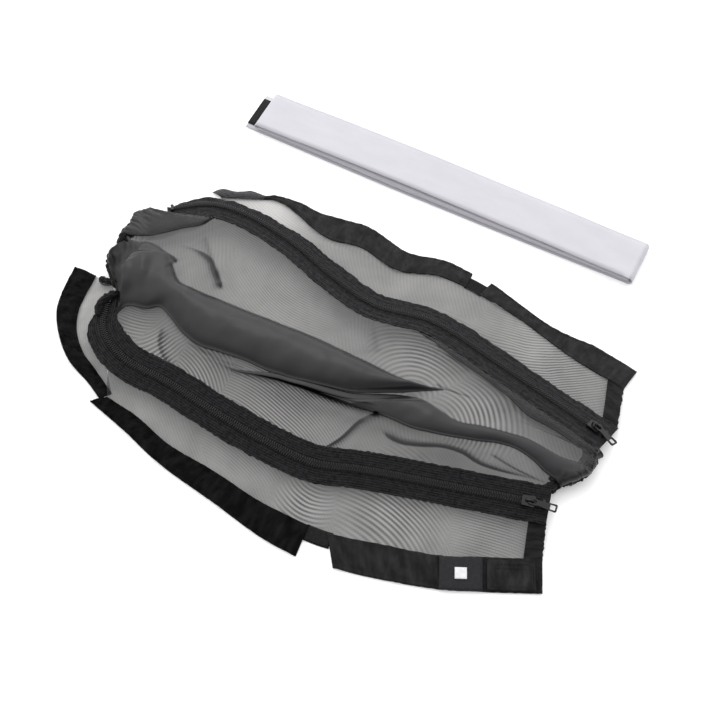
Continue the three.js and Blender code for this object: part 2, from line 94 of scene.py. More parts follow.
# The folds that lie along the middle panel: the plan lines of each fold's near and far edge, how far it
# stands up, and the least cover that the cloth has in it. With no far edge it runs to the back zip.
FOLDS = {
    "small": {
        "near": [(-66, -83.5), (-58, -84), (-40, -80.2), (-27, -78), (-8, -76.3), (16.5, -75.3),
                 (35, -74), (66, -71.6), (91, -71.8), (111, -68.5), (134, -63), (153, -57.5), (167, -56),
                 (183, -59), (193, -63), (206, -66)],
        "far": [(-66, -83.5), (-58, -83), (-45, -79), (-31, -74.8), (-3, -71), (18, -68.2), (35, -65),
                (54.5, -57), (71.5, -51), (87, -49.5), (104, -53.5), (119, -55.5), (133, -52), (150, -49),
                (171, -46), (188, -48.5), (200, -50), (213, -48.5), (220, -49)],
        "rise": 2.4,
        "dense": 1.25,
    },
    "great": {
        "near": [(-214, -62), (-175, -74), (-167, -62), (-149, -58.8), (-139, -54.2), (-128, -58.8),
                 (-110, -69), (-94, -73.5), (-76, -73), (-49, -72), (-31, -72.5), (-3, -69.7),
                 (17, -66.8), (35, -63), (53, -55), (71.5, -46.5), (100, -33.5)],
        "far": [(-214, -8), (-187, -6), (-176, -3.4), (-164, -5.6), (-149, -16), (-134, -30),
                (-120, -31.8), (-88, -32.8), (-37, -32.8), (-8, -33), (27, -36), (71, -38.2), (100, -33.5)],
        "rise": 8.0,
        "dense": 1.25,
    },
    "back": {
        "near": [(-210, -2), (-187, 2.4), (-173, 10.6), (-158, 22.8), (-146, 32), (-142, 40), (-139, 50),
                 (-100, 60), (0, 40), (48, 20), (60, 11), (73, 8), (90, 2), (120, -6), (146, -15),
                 (165, -24), (181, -26), (196, -29), (207, -33), (215, -38.5), (221, -43), (228, -47)],
        "far": None,
        "rise": 1.6,
        "dense": 0.7,
    },
}

# Creases: a plan line each, half its width, how much cover it adds there, and its rise. The ridge is even. The
# cover is added softly to the left of the line and sharply to its right. Most lines are cloth crowded into a
# crease; the two beneath the great fold paint its shade as added cover, and the last two take cover away as a
# painted highlight.
CREASES = [
    ([(67, -83.5), (75, -87), (84, -87.5), (99, -84), (117, -78), (131, -77), (145, -79), (162, -77.5),
      (181, -74), (196, -71)], 3.8, 0.8, 2.0),
    ([(63, -66), (49.5, -84.5), (41.5, -102), (33.5, -112.5), (28, -118)], 3.8, 0.8, 1.4),
    ([(-99, -24), (-104, -18), (-111.8, -10), (-120.3, -2), (-132.5, 2.2), (-148, 3.9)], 4.6, 0.9, 2.6),
    ([(-145, -13.5), (-150, -11.2), (-156, -9.4), (-166, -5)], 3.8, 0.9, 1.8),
    ([(-104, -16), (-118, -3), (-133, 15), (-139, 23)], 9.0, 0.16, 1.6),
    ([(-128, -70), (-124, -84.5), (-112, -96), (-98, -102.5), (-79, -104)], 5.0, 0.4, 1.2),
    ([(38, -26), (30, -12), (20, 6)], 10, 0.1, 1.4),
    ([(88, -32), (104, -33), (128, -31)], 2.6, 0.3, 0.8),
    # Painted shade: the dark streak in the great fold's shadow, as dense cover along the second fold's edge.
    ([(72, -66), (46, -70), (20, -74.5), (0, -75.8), (-20, -77.5), (-40, -80.5), (-58, -84), (-72, -83)],
     5.0, 1.0, 0.2),
    # Painted shade: the soft shade along the great fold's lower edge, as added cover.
    ([(-50, -79), (-70, -80), (-92, -77), (-112, -74)], 6.0, 0.22, 0.6),
    ([(150, -69), (170, -72), (199, -72)], 1.8, 0.35, 0.8),
    # These two take a little cover away to paint a light streak along their raised ridges: painted highlight.
    ([(-176, -14), (-168, -30), (-158, -50)], 3.0, -0.04, 3.4),
    ([(-186, -30), (-176, -42), (-172, -58)], 3.0, -0.04, 2.6),
]

# The moire's rings: their centre, where they show and how far, their pitch and strength.
FRINGES = [
    ((-152, -62), (-122, -90), 20, 3.0, 0.34),
    ((-152, -30), (-152, -74), 16, 2.7, 0.3),
    ((-116, -132), (-82, -93), 22, 2.7, 0.42),
    ((78, -52), (72, -4), 30, 3.8, 0.46),
    ((95, -78), (133, -38), 26, 3.6, 0.4),
    ((60, -250), (100, -134), 30, 3.6, 0.42),
    ((40, -120), (36, -158), 16, 3.0, 0.42),
    ((-67, -257), (-16, -95), 42, 2.2, 0.4),
    ((-20, 90), (-50, 0), 46, 2.4, 0.16),
    ((100, 150), (160, 30), 46, 2.6, 0.32),
    ((-60, 190), (-100, 66), 40, 2.6, 0.16),
    ((180, -300), (170, -118), 26, 2.5, 0.2),
]

# ---- lines ----


def catmull_rom(points, samples):
    """A centripetal Catmull-Rom curve through the points."""
    p = np.array([tuple(q) + (0.0,) * (3 - len(q)) for q in points], float)
    p = np.vstack([2 * p[0] - p[1], p, 2 * p[-1] - p[-2]])
    out = []
    for i in range(1, len(p) - 2):
        p0, p1, p2, p3 = p[i - 1:i + 3]
        d0, d1, d2 = (max(math.sqrt(np.linalg.norm(b - a)), 1e-4) for a, b in ((p0, p1), (p1, p2), (p2, p3)))
        t1 = ((p1 - p0) / d0 - (p2 - p0) / (d0 + d1) + (p2 - p1) / d1) * d1
        t2 = ((p2 - p1) / d1 - (p3 - p1) / (d1 + d2) + (p3 - p2) / d2) * d1
        t = np.linspace(0, 1, samples, endpoint=False)[:, None]
        bend = -3 * p1 + 3 * p2 - 2 * t1 - t2
        twist = 2 * p1 - 2 * p2 + t1 + t2
        out.append(p1 + t1 * t + bend * t ** 2 + twist * t ** 3)
    return np.vstack([*out, p[-2:-1]])


class Line:
    """A smooth line through points, read by the share of its length."""

    def __init__(self, points, samples=160):
        self.points = catmull_rom(points, samples)
        steps = np.linalg.norm(np.diff(self.points, axis=0), axis=1)
        self.along = np.concatenate([[0], np.cumsum(steps)])
        self.length = self.along[-1]

    def at(self, share):
        where = np.asarray(share, float) * self.length
        return np.stack([np.interp(where, self.along, self.points[:, k]) for k in range(3)], axis=-1)

    def tangent(self, share):
        share = np.asarray(share, float)
        step = 0.002
        ahead = self.at(np.minimum(share + step, 1)) - self.at(np.maximum(share - step, 0))
        return unit(ahead)

    def y_at(self, x):
        order = np.argsort(self.points[:, 0])
        return np.interp(x, self.points[order, 0], self.points[order, 1])


def unit(vectors):
    return vectors / np.maximum(np.linalg.norm(vectors, axis=-1, keepdims=True), 1e-9)


def smooth(t):
    t = np.clip(t, 0, 1)
    return t * t * (3 - 2 * t)


def ripple(x, y, scale, seed=0.0, octaves=2):
    """Smooth noise from -1 to 1 over arrays of places, the same each run."""
    x, y = np.broadcast_arrays(np.asarray(x, float), np.asarray(y, float))
    flat = [noise.fractal(Vector((a / scale, b / scale, seed)), 1.0, 2.0, octaves)
            for a, b in zip(x.ravel(), y.ravel())]
    return np.array(flat).reshape(x.shape)


for zip_ in (FRONT_ZIP, BACK_ZIP):
    start, end = (np.array(p, float) for p in zip_["run"])
    run = [tuple(start + (end - start) * share) for share in (0, 0.25, 0.5, 0.75, 1)]
    zip_["line"] = Line([*zip_["points"], *run])


def zip_frames(zip_, share):
    """Places along the zip with their axes: u along it, v towards the middle panel, w up out of the tapes."""
    origin = zip_["line"].at(share)
    u = zip_["line"].tangent(share)
    flat = unit(np.stack([-u[..., 1], u[..., 0], np.zeros_like(u[..., 0])], axis=-1))
    roll = math.radians(zip_["tilt"] * zip_["inner"])
    v = flat * math.cos(roll) + np.cross(u, flat) * math.sin(roll)
    w = np.cross(u, v)
    return origin, u, v * zip_["inner"], w


# ---- meshes ----


def add_piece(name, points, faces, material, body, slot, replaced=(), cloth=None, shade_smooth=True,
              **shares):
    """A piece from points in the sheet's frame, in millimetres, riding on a CAD body."""
    mesh = bpy.data.meshes.new(name)
    points = (np.asarray(points, float).reshape(-1, 3) + ORIGIN) * MM
    mesh.from_pydata(points.tolist(), [], [tuple(int(i) for i in face) for face in faces])
    mesh.update()
    if cloth is not None:
        attribute = mesh.attributes.new("cloth", "FLOAT_VECTOR", "POINT")
        attribute.data.foreach_set("vector", np.asarray(cloth, np.float32).reshape(-1))
    for key, values in shares.items():
        attribute = mesh.attributes.new(key, "FLOAT", "POINT")
        attribute.data.foreach_set("value", np.asarray(values, np.float32).reshape(-1))
    if shade_smooth:
        mesh.shade_smooth()
    obj = bpy.data.objects.new(name, mesh)
    bpy.context.scene.collection.objects.link(obj)
    mesh.materials.append(material)
    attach(obj, body)
    if replaced:
        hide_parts(*replaced)
    return obj


def grid_faces(rows, columns, offset=0):
    i, k = np.meshgrid(np.arange(rows - 1), np.arange(columns - 1), indexing="ij")
    a = (offset + i * columns + k).ravel()
    return np.stack([a, a + columns, a + columns + 1, a + 1], axis=1)


def fringes(grid):
    """The phase and strength of the moire at each point."""
    x, y = grid[..., 0], grid[..., 1]
    phase = (0.8 * x + 0.6 * y) / 2.6 + 0.3 * grid[..., 2]
    depth = np.full(x.shape, 0.05)
    drift = 2.2 * ripple(x, y, 60, 71.0, 1) + 0.12 * grid[..., 2]
    for centre, middle, reach, pitch, strength in FRINGES:
        weight = strength * np.exp(-((x - middle[0]) ** 2 + (y - middle[1]) ** 2) / reach ** 2 / 1.2)
        ring = np.hypot(x - centre[0], y - centre[1]) / pitch + drift
        stronger = weight > depth
        phase = np.where(stronger, ring, phase)
        depth = np.where(stronger, weight, depth)
    return phase, depth


def add_sheet(name, grid, cloth, material, body, slot, replaced, cover, calm=1.0):
    rows, columns = grid.shape[:2]
    phase, depth = fringes(grid)
    depth = depth * calm
    return add_piece(name, grid, grid_faces(rows, columns), material, body, slot, replaced, cloth,
                     cover=cover, fringe=phase, depth=depth)


def add_slab(name, top, under, cloth, material, body, slot, replaced):
    """A thin closed band between two grids of points, one on each of its faces."""
    rows, columns = top.shape[:2]
    count = rows * columns
    faces = [*grid_faces(rows, columns), *grid_faces(rows, columns, count)[:, ::-1]]
    rim = [i * columns for i in range(rows)]
    rim += [(rows - 1) * columns + k for k in range(1, columns)]
    rim += [i * columns + columns - 1 for i in range(rows - 2, -1, -1)]
    rim += list(range(columns - 2, 0, -1))
    for a, b in zip(rim, rim[1:] + rim[:1]):
        faces.append((b, a, a + count, b + count))
    points = np.concatenate([top.reshape(-1, 3), under.reshape(-1, 3)])
    cloth = np.concatenate([cloth.reshape(-1, 3)] * 2)
    obj = add_piece(name, points, faces, material, body, slot, replaced, cloth)
    fix_normals(obj)
    return obj


def fix_normals(obj):
    bm = bmesh.new()
    bm.from_mesh(obj.data)
    bmesh.ops.recalc_face_normals(bm, faces=bm.faces)
    bm.to_mesh(obj.data)
    bm.free()


def cloth_grid(along, across, layer=0.0):
    """Each point's place on the cloth as it was cut, in millimetres."""
    along, across = np.broadcast_arrays(along, across)
    return np.stack([along, across, np.full(along.shape, layer)], axis=-1)


def tube(path, side, radius, sides):
    """Rings round a path, with a reference direction for each point."""
    tangent = unit(np.gradient(path, axis=0))
    normal = unit(side - (side * tangent).sum(-1, keepdims=True) * tangent)
    across = np.cross(tangent, normal)
    angle = np.linspace(0, 2 * math.pi, sides, endpoint=False)
    radius = np.broadcast_to(np.asarray(radius, float), (len(path),))[:, None, None]
    return path[:, None] + radius * (
        normal[:, None] * np.cos(angle)[None, :, None] + across[:, None] * np.sin(angle)[None, :, None])


def tube_faces(rings, sides, offset=0):
    faces = []
    for i in range(rings - 1):
        for k in range(sides):
            a = offset + i * sides + k
            b = offset + i * sides + (k + 1) % sides
            faces.append((a, b, b + sides, a + sides))
    faces.append(tuple(offset + k for k in range(sides - 1, -1, -1)))
    faces.append(tuple(offset + (rings - 1) * sides + k for k in range(sides)))
    return faces


# ---- materials ----


class Nodes:
    """A short way to write a material's nodes."""

    def __init__(self, name):
        self.material = bpy.data.materials.new(name)
        self.material.use_nodes = True
        self.tree = self.material.node_tree
        self.tree.nodes.clear()
        self.out = self.tree.nodes.new("ShaderNodeOutputMaterial")

    def add(self, kind, inputs=None, **settings):
        node = self.tree.nodes.new("ShaderNode" + kind)
        for key, value in settings.items():
            setattr(node, key, value)
        for key, value in (inputs or {}).items():
            if isinstance(value, bpy.types.NodeSocket):
                self.tree.links.new(value, node.inputs[key])
            else:
                node.inputs[key].default_value = value
        return node

    def attribute(self, name):
        return self.add("Attribute", attribute_name=name)

    def math(self, operation, a, b=0.5, clamp=False):
        return self.add("Math", {0: a, 1: b}, operation=operation, use_clamp=clamp).outputs[0]

    def scaled(self, vector, scale):
        return self.add("VectorMath", {0: vector, 1: scale}, operation="MULTIPLY").outputs[0]

    def noise(self, vector, scale, detail=3.0, rough=0.55):
        return self.add("TexNoise", {"Vector": vector, "Scale": scale, "Detail": detail,
                                     "Roughness": rough}).outputs["Fac"]

    def colours(self, fac, low, high, start=0.3, end=0.7):
        ramp = self.add("ValToRGB", {"Fac": fac})
        ramp.color_ramp.elements[0].position = start
        ramp.color_ramp.elements[0].color = (*low, 1)
        ramp.color_ramp.elements[1].position = end
        ramp.color_ramp.elements[1].color = (*high, 1)
        return ramp.outputs["Color"]

    def range(self, value, low, high):
        return self.add("MapRange", {"Value": value, "To Min": low, "To Max": high}).outputs[0]

    def bump(self, height, strength, distance):
        return self.add("Bump", {"Height": height, "Strength": strength, "Distance": distance}).outputs[0]

    def finish(self, shader):
        self.tree.links.new(shader, self.out.inputs["Surface"])
        return self.material


def wave(n, vector, pitch, direction, distortion=0.0, detail_scale=1.0):
    """Bands of that pitch in the vector's own units, from 0 to 1."""
    return n.add("TexWave", {"Vector": vector, "Scale": math.pi / (10 * pitch), "Distortion": distortion,
                             "Detail": 1.0, "Detail Scale": detail_scale},
                 wave_type="BANDS", bands_direction=direction).outputs["Fac"]


def sheer_mesh():
    """One layer of black mesh, seen through between its threads, with the moire its threads make."""
    n = Nodes("sheer_mesh")
    cloth = n.attribute("cloth").outputs["Vector"]
    cover = n.attribute("cover").outputs["Fac"]
    turns = n.math("MULTIPLY", n.attribute("fringe").outputs["Fac"], 2 * math.pi)
    rings = n.math("MULTIPLY", n.math("SINE", turns, 0.0), n.attribute("depth").outputs["Fac"])
    warp = n.math("SUBTRACT", wave(n, cloth, 1.15, "X", 0.5), 0.5)
    weft = n.math("SUBTRACT", wave(n, cloth, 1.15, "Y", 0.5), 0.5)
    threads = n.math("MULTIPLY", n.math("ADD", warp, weft), 0.13)
    cloud = n.range(n.noise(cloth, 0.05, 4.0), 0.86, 1.14)
    share = n.math("MULTIPLY", n.math("ADD", n.math("ADD", rings, threads), 1.0), cloud)
    fac = n.math("MULTIPLY", cover, share, clamp=True)
    # Painted shade: where the cover passes 1.3, as along the dark streak beneath the great fold, the yarn's
    # colour and its specular level are darkened.
    painted_shade = n.math("MULTIPLY", n.math("SUBTRACT", cover, 1.3), 1.6, clamp=True)
    lit = n.math("SUBTRACT", 1.0, painted_shade)
    tone = n.colours(n.math("MULTIPLY", n.range(n.noise(cloth, 0.06), 0.75, 1.2), lit),
                     (0.0008, 0.0008, 0.0009),
                     (0.0135, 0.0123, 0.0142), 0.0, 1.0)
    yarn = n.add("BsdfPrincipled", {
        "Base Color": tone, "Roughness": 0.34, "Specular IOR Level": n.math("MULTIPLY", lit, 0.33),
        "Sheen Weight": 0.03,
        "Sheen Roughness": 0.3})
    clear = n.add("BsdfTransparent", {"Color": (1.0, 0.995, 0.985, 1)})
    return n.finish(n.add("MixShader", {0: fac, 1: clear.outputs[0], 2: yarn.outputs[0]}).outputs[0])


def woven(name, low, high, pitch, rough=0.7, sheen=0.02, bump=0.4):
    """Opaque black webbing: ribs along and across it, with specks of light thread between them."""
    n = Nodes(name)
    cloth = n.attribute("cloth").outputs["Vector"]
    along = wave(n, cloth, pitch, "Y", 0.8)
    across = wave(n, cloth, pitch * 0.6, "X", 1.5)
    speck = n.noise(n.scaled(cloth, (0.8, 1.0, 1.0)), 1.1, 2.0)
    mottle = n.noise(cloth, 0.32, 2.0)
    height = n.math("ADD", n.math("MULTIPLY", along, 0.7), n.math("MULTIPLY", across, 0.3))
    height = n.math("ADD", height, speck)
    mixed = n.math("ADD", n.math("MULTIPLY", speck, 0.45), n.math("MULTIPLY", along, 0.15))
    mixed = n.math("ADD", mixed, n.math("MULTIPLY", mottle, 0.4))
    tone = n.colours(mixed, low, high, 0.38, 0.64)
    shader = n.add("BsdfPrincipled", {
        "Base Color": tone, "Roughness": rough, "Specular IOR Level": 0.08, "Sheen Weight": sheen,
        "Sheen Roughness": 0.5, "Normal": n.bump(height, bump, 0.0004)})
    return n.finish(shader.outputs[0])


def satin(name, low, high, gloss=0.2):
    """The hem's smooth back: soft folds where it puckers, painted lighter where they rise as a painted sheen,
    and a fine crosswise weave.
    """
    n = Nodes(name)
    cloth = n.attribute("cloth").outputs["Vector"]
    stretched = n.scaled(cloth, (1.0, 0.35, 1.0))
    puckers_and_painted_sheen = n.noise(stretched, 0.14, 2.0)
    # Painted sheen: the tone is lighter where the puckers rise.
    tone = n.colours(puckers_and_painted_sheen, low, high, 0.4, 0.75)
    height = n.math("ADD", n.math("MULTIPLY", puckers_and_painted_sheen, 8.0), wave(n, cloth, 0.9, "X", 0.3))
    shader = n.add("BsdfPrincipled", {
        "Base Color": tone, "Roughness": n.range(n.noise(cloth, 0.4), 0.3, 0.48),
        "Specular IOR Level": gloss,
        "Normal": n.bump(height, 0.8, 0.001)})
    return n.finish(shader.outputs[0])


def hard(name, low, high, rough_low, rough_high, scale, bump=0.15):
    """Enamel, nylon or paper: a slightly uneven tone and gloss with fine scratches, in object space."""
    n = Nodes(name)
    where = n.add("TexCoord").outputs["Object"]
    speck = n.noise(where, scale, 4.0)
    tone = n.colours(speck, low, high)
    scratches = n.noise(n.scaled(where, (1.0, 6.0, 1.0)), scale * 2, 2.0)
    shader = n.add("BsdfPrincipled", {
        "Base Color": tone, "Roughness": n.range(speck, rough_low, rough_high), "Specular IOR Level": 0.35,
        "Normal": n.bump(scratches, bump, 0.0002)})
    return n.finish(shader.outputs[0])


def hooks():
    """Hook tape: rows of tiny hooks on a woven ground."""
    n = Nodes("hook_nylon")
    cloth = n.attribute("cloth").outputs["Vector"]
    dots = n.add("TexVoronoi", {"Vector": cloth, "Scale": 0.8, "Randomness": 0.15}).outputs["Distance"]
    tone = n.colours(dots, (0.012, 0.012, 0.012), (0.002, 0.002, 0.002), 0.1, 0.6)
    shader = n.add("BsdfPrincipled", {
        "Base Color": tone, "Roughness": 0.6, "Specular IOR Level": 0.2,
        "Normal": n.bump(n.math("SUBTRACT", 1.0, dots), 0.8, 0.0008)})
    return n.finish(shader.outputs[0])


def liner_paper():
    """Waxed paper with a faint lavender cast."""
    n = Nodes("liner_paper")
    cloth = n.attribute("cloth").outputs["Vector"]
    cloud = n.noise(n.scaled(cloth, (0.35, 1.0, 1.0)), 0.08, 4.0)
    tone = n.colours(cloud, (0.49, 0.48, 0.52), (0.53, 0.52, 0.56))
    fibres = n.noise(cloth, 2.0, 3.0)
    shader = n.add("BsdfPrincipled", {
        "Base Color": tone, "Roughness": n.range(cloud, 0.36, 0.5), "Specular IOR Level": 0.4,
        "Normal": n.bump(fibres, 0.08, 0.0002)})
    return n.finish(shader.outputs[0])


def floor_white():
    n = Nodes("floor_white")
    where = n.add("TexCoord").outputs["Object"]
    tone = n.colours(n.noise(where, 3.0), (0.93, 0.93, 0.93), (0.95, 0.95, 0.95))
    return n.finish(n.add("BsdfPrincipled", {"Base Color": tone, "Roughness": 0.9,
                                             "Specular IOR Level": 0.1, "Emission Color": (1, 1, 1, 1),
                                             "Emission Strength": 0.14}).outputs[0])


MESH = sheer_mesh()
FOLDED = woven("folded_mesh", (0.002, 0.002, 0.0022), (0.012, 0.0118, 0.013), 1.6, 0.5, 0.05)
FOLDED_PALE = woven("folded_mesh_pale", (0.03, 0.0295, 0.032), (0.075, 0.074, 0.078), 1.6, 0.5, 0.05)
ZIP_TAPE = woven("zip_tape", (0.0008, 0.0008, 0.001), (0.022, 0.0215, 0.0235), 1.9)
ZIP_TAPE_PALE = woven("zip_tape_pale", (0.003, 0.003, 0.0034), (0.034, 0.0335, 0.036), 1.9)
SATIN = satin("hem_satin_dark", (0.0004, 0.0004, 0.0005), (0.011, 0.0107, 0.012), 0.07)
SATIN_MID = satin("hem_satin", (0.01, 0.0097, 0.0105), (0.034, 0.033, 0.035), 0.14)
# A lighter copy of the same satin for the back tapes: painted sheen, for tapes that face the light.
SATIN_PAINTED_SHEEN = satin("hem_satin_painted_sheen", (0.014, 0.0138, 0.015), (0.036, 0.0355, 0.038))
COIL = hard("coil_nylon", (0.006, 0.006, 0.0065), (0.03, 0.03, 0.032), 0.24, 0.42, 900.0)
METAL = hard("black_enamel", (0.002, 0.002, 0.0022), (0.007, 0.007, 0.0077), 0.12, 0.26, 400.0)
THREAD = hard("black_thread", (0.003, 0.003, 0.0033), (0.012, 0.012, 0.013), 0.5, 0.7, 2000.0)
LABEL = woven("label_weave", (0.014, 0.0136, 0.0155), (0.026, 0.0252, 0.028), 0.7, 0.6, 0.05, 0.4)
MARK = woven("label_mark", (0.62, 0.62, 0.64), (0.8, 0.8, 0.81), 0.6, 0.6, 0.1, 0.4)
ELASTIC = woven("elastic_cover", (0.002, 0.002, 0.002), (0.01, 0.01, 0.01), 1.0)
HOOKS = hooks()
LINER = liner_paper()

# ---- camera ----

LOOK_AT = Vector((19.125, -20.135, 0.0)) * MM
CAMERA_AZIMUTH = 24
CAMERA_ELEVATION = 60
CAMERA_AWAY = 1.2


def add_camera():
    data = bpy.data.cameras.new("camera")
    data.lens = 75
    data.sensor_width = 36
    camera = bpy.data.objects.new("camera", data)
    bpy.context.scene.collection.objects.link(camera)
    a = math.radians(CAMERA_AZIMUTH)
    e = math.radians(CAMERA_ELEVATION)
    back = Vector((math.sin(a) * math.cos(e), -math.cos(a) * math.cos(e), math.sin(e)))
    camera.location = LOOK_AT + back * CAMERA_AWAY
    camera.rotation_mode = "QUATERNION"
    camera.rotation_quaternion = (-back).to_track_quat("-Z", "Y")
    bpy.context.scene.camera = camera


add_camera()

# ---- middle panel ----

ROWS = 380
TUCK = 2.0  # cloth under a tape's edge
PUFF = 11.0
# Where the panel's left and right end lie, from its front corner to its back one, with their shares of
# the way.
LEFT_END = ([0, 0.1, 0.2, 0.32, 0.42, 0.5, 0.58, 0.68, 0.8, 0.9, 0.96, 1],
            [(-172, -55), (-180, -50), (-188, -42), (-198, -31), (-202, -21), (-199, -12), (-202, -3),
             (-199, 8), (-202, 20), (-194, 30), (-184, 31), (-174, 25)])
RIGHT_END = ([0, 0.12, 0.3, 0.5, 0.7, 0.88, 1],
             [(203, -74), (205, -66), (214, -59), (221, -50), (223, -40), (221, -31), (224, -28)])
SINGLE_COVER = 0.58
RUN_STEPS, BACK_STEPS, TURN_STEPS, LAST_STEPS = 84, 16, 7, 110
FOLD_COLUMNS = RUN_STEPS + BACK_STEPS + 2 * TURN_STEPS


INNER_WIDENS = 40  # how far along an inner tape reaches its full width
OUTER_WIDENS = 34  # the same for an outer tape's first step
OUTER_WIDENS_ON = 60  # where its second step starts


def tape_half(zip_, side, shares):
    """A tape starts narrow, where it is turned under, the outer one for longer."""
    along = np.asarray(shares) * zip_["line"].length
    if side > 0:
        return TAPE_HALF * (0.5 + 0.5 * smooth(along / INNER_WIDENS))
    start, widened, long = zip_["turned_under"]
    first = (widened - start) * smooth(along / OUTER_WIDENS)
    second = (1 - widened) * smooth((along - OUTER_WIDENS_ON) / long)
    return TAPE_HALF * (start + first + second)


def station_lines(shares):
    """The panel's edges along both zips, tucked under the tapes."""
    edges = []
    for zip_ in (FRONT_ZIP, BACK_ZIP):
        origin, _, v, w = zip_frames(zip_, shares)
        edges.append(origin + v * (tape_half(zip_, 1, shares) - TUCK)[:, None] - w * 0.9)
    return edges


def pull(end, front, back, fades):
    """How far the panel's end draws each place of each station aside: a function of the share across."""
    shares, points = end[0], np.array(end[1], float)
    chord = front[:2] + np.array(shares)[:, None] * (back - front)[:2]
    away = points - chord
    away[0] = away[-1] = 0

    def drawn(share):
        fade = np.reshape(fades, (-1,) + (1,) * (np.ndim(share) - 1))
        return np.stack([fade * np.interp(share, shares, away[:, k]) for k in range(2)], axis=-1)

    return drawn


def crossing(line, front, back, drawn):
    """The share of the way across each station at which it meets a plan line."""
    share = np.full(len(front), 0.5)
    for _ in range(40):
        moved = drawn(share)
        x = front[:, 0] + share * (back[:, 0] - front[:, 0]) + moved[:, 0]
        target = (line.y_at(x) - moved[:, 1] - front[:, 1]) / (back[:, 1] - front[:, 1])
        share = np.clip(share * 0.5 + 0.5 * target, 0.0, 1.0)
    return share


def arc(centre, z_from, z_to, bulge, steps):
    """A turn of the cloth: across and height of a half circle."""
    angle = np.linspace(-math.pi / 2, math.pi / 2, steps)
    across = centre + bulge * np.cos(angle)
    height = (z_from + z_to) / 2 + (z_to - z_from) / 2 * np.sin(angle)
    return across, height


def nearest(x, y, line):
    """How far places are from a plan line, positive to its left, and the share of its length beside them."""
    best = np.full(np.shape(x), 1e9)
    signed = np.zeros(np.shape(x))
    beside_share = np.zeros(np.shape(x))
    points = line.points[::8, :2]
    for i, (a, b) in enumerate(zip(points[:-1], points[1:])):
        d = b - a
        t = np.clip(((x - a[0]) * d[0] + (y - a[1]) * d[1]) / max(d @ d, 1e-9), 0, 1)
        away_x, away_y = x - a[0] - t * d[0], y - a[1] - t * d[1]
        away = np.hypot(away_x, away_y)
        closer = away < best
        signed = np.where(closer, np.where(d[0] * away_y - d[1] * away_x > 0, away, -away), signed)
        beside_share = np.where(closer, (i + t) / (len(points) - 1), beside_share)
        best = np.minimum(best, away)
    return signed, beside_share


def crease(grid, cover):
    """Raises grid along the creases and adds to cover there, softly on each line's left. Changes both."""
    x, y = grid[..., 0], grid[..., 1]
    for points, half, added_cover, rise in CREASES:
        away, share = nearest(x, y, Line(points, 40))
        wide = half * (1.1 - 0.6 * share)
        core = np.exp(-(away / np.maximum(0.26 * wide, 0.7)) ** 2)
        side = np.exp(-(away / np.where(away > 0, wide, 0.3 * wide)) ** 2)
        taper = smooth(0.1 + share * 6) * (0.1 + 0.9 * smooth((1 - share) * 2.5))
        grid[..., 2] += rise * np.exp(-(away / (2.4 * wide)) ** 2) * taper
        cover += added_cover * (0.6 * core + 0.5 * side) * taper


def folded_station(width, folds, base):
    """One line of cloth from the front zip to the back one: its place across and its height.

    Each fold is (near, far, rise). The cloth runs under the fold to its far edge, back to its near edge,
    and on over it.
    """
    last = 0.0
    gap = 1.5

    def top(at):
        total = base(at)
        for near, far, rise in folds:
            wide = far - near
            open_ = smooth(wide / 10)
            total = total + rise * open_ * np.sin(math.pi * np.clip((at - near) / max(wide, 1e-3), 0,
                                                                    1)) ** 0.7
        return total

    def low(at, fold):
        near, far, _ = fold
        return base(at) - 2 * gap * smooth((far - near) / 10) * smooth((at - near + 12) / 12)

    across, height = [], []
    for fold in folds:
        near, far, _ = fold
        open_ = smooth((far - near) / 10)
        step = gap * open_
        first = np.linspace(last, far, RUN_STEPS)
        under = np.minimum(top(first) if last > 0 else base(first),
                           np.where(first > near - 12, low(first, fold), 1e3))
        across.append(first)
        height.append(under)
        z1, z2 = under[-1], under[-1] + step
        turn = arc(far, z1, z2, 0.8 * open_, TURN_STEPS)
        across.append(turn[0])
        height.append(turn[1])
        back = np.linspace(far, near, BACK_STEPS)
        middle = base(back) - step + 0.35 * (top(back) - base(back))
        blend = smooth((far - back) / 6)
        middle = z2 * (1 - blend) + middle * blend
        across.append(back)
        height.append(middle)
        turn = arc(near, middle[-1], base(near), -1.6 * open_, TURN_STEPS)
        across.append(turn[0])
        height.append(turn[1])
        last = near
    run = np.linspace(last, width, LAST_STEPS)
    across.append(run)
    height.append(top(run))
    return np.concatenate(across), np.concatenate(height)


def rolled(end, outward, radius, under):
    """Rows past an end row: the cloth goes round, down and back under itself."""
    columns = len(end)
    full = np.sin(math.pi * np.linspace(0, 1, columns)) ** 0.45
    rows = []
    for angle in np.linspace(0, math.pi, 12)[1:]:
        row = end.copy()
        row += outward * (radius * math.sin(angle) * full)[:, None]
        row[:, 2] -= radius * (1 - math.cos(angle)) * full
        rows.append(row)
    for back in np.linspace(0, under, 8)[1:]:
        row = rows[10].copy()
        row -= outward * (back * full)[:, None]
        rows.append(row)
    return np.array(rows)


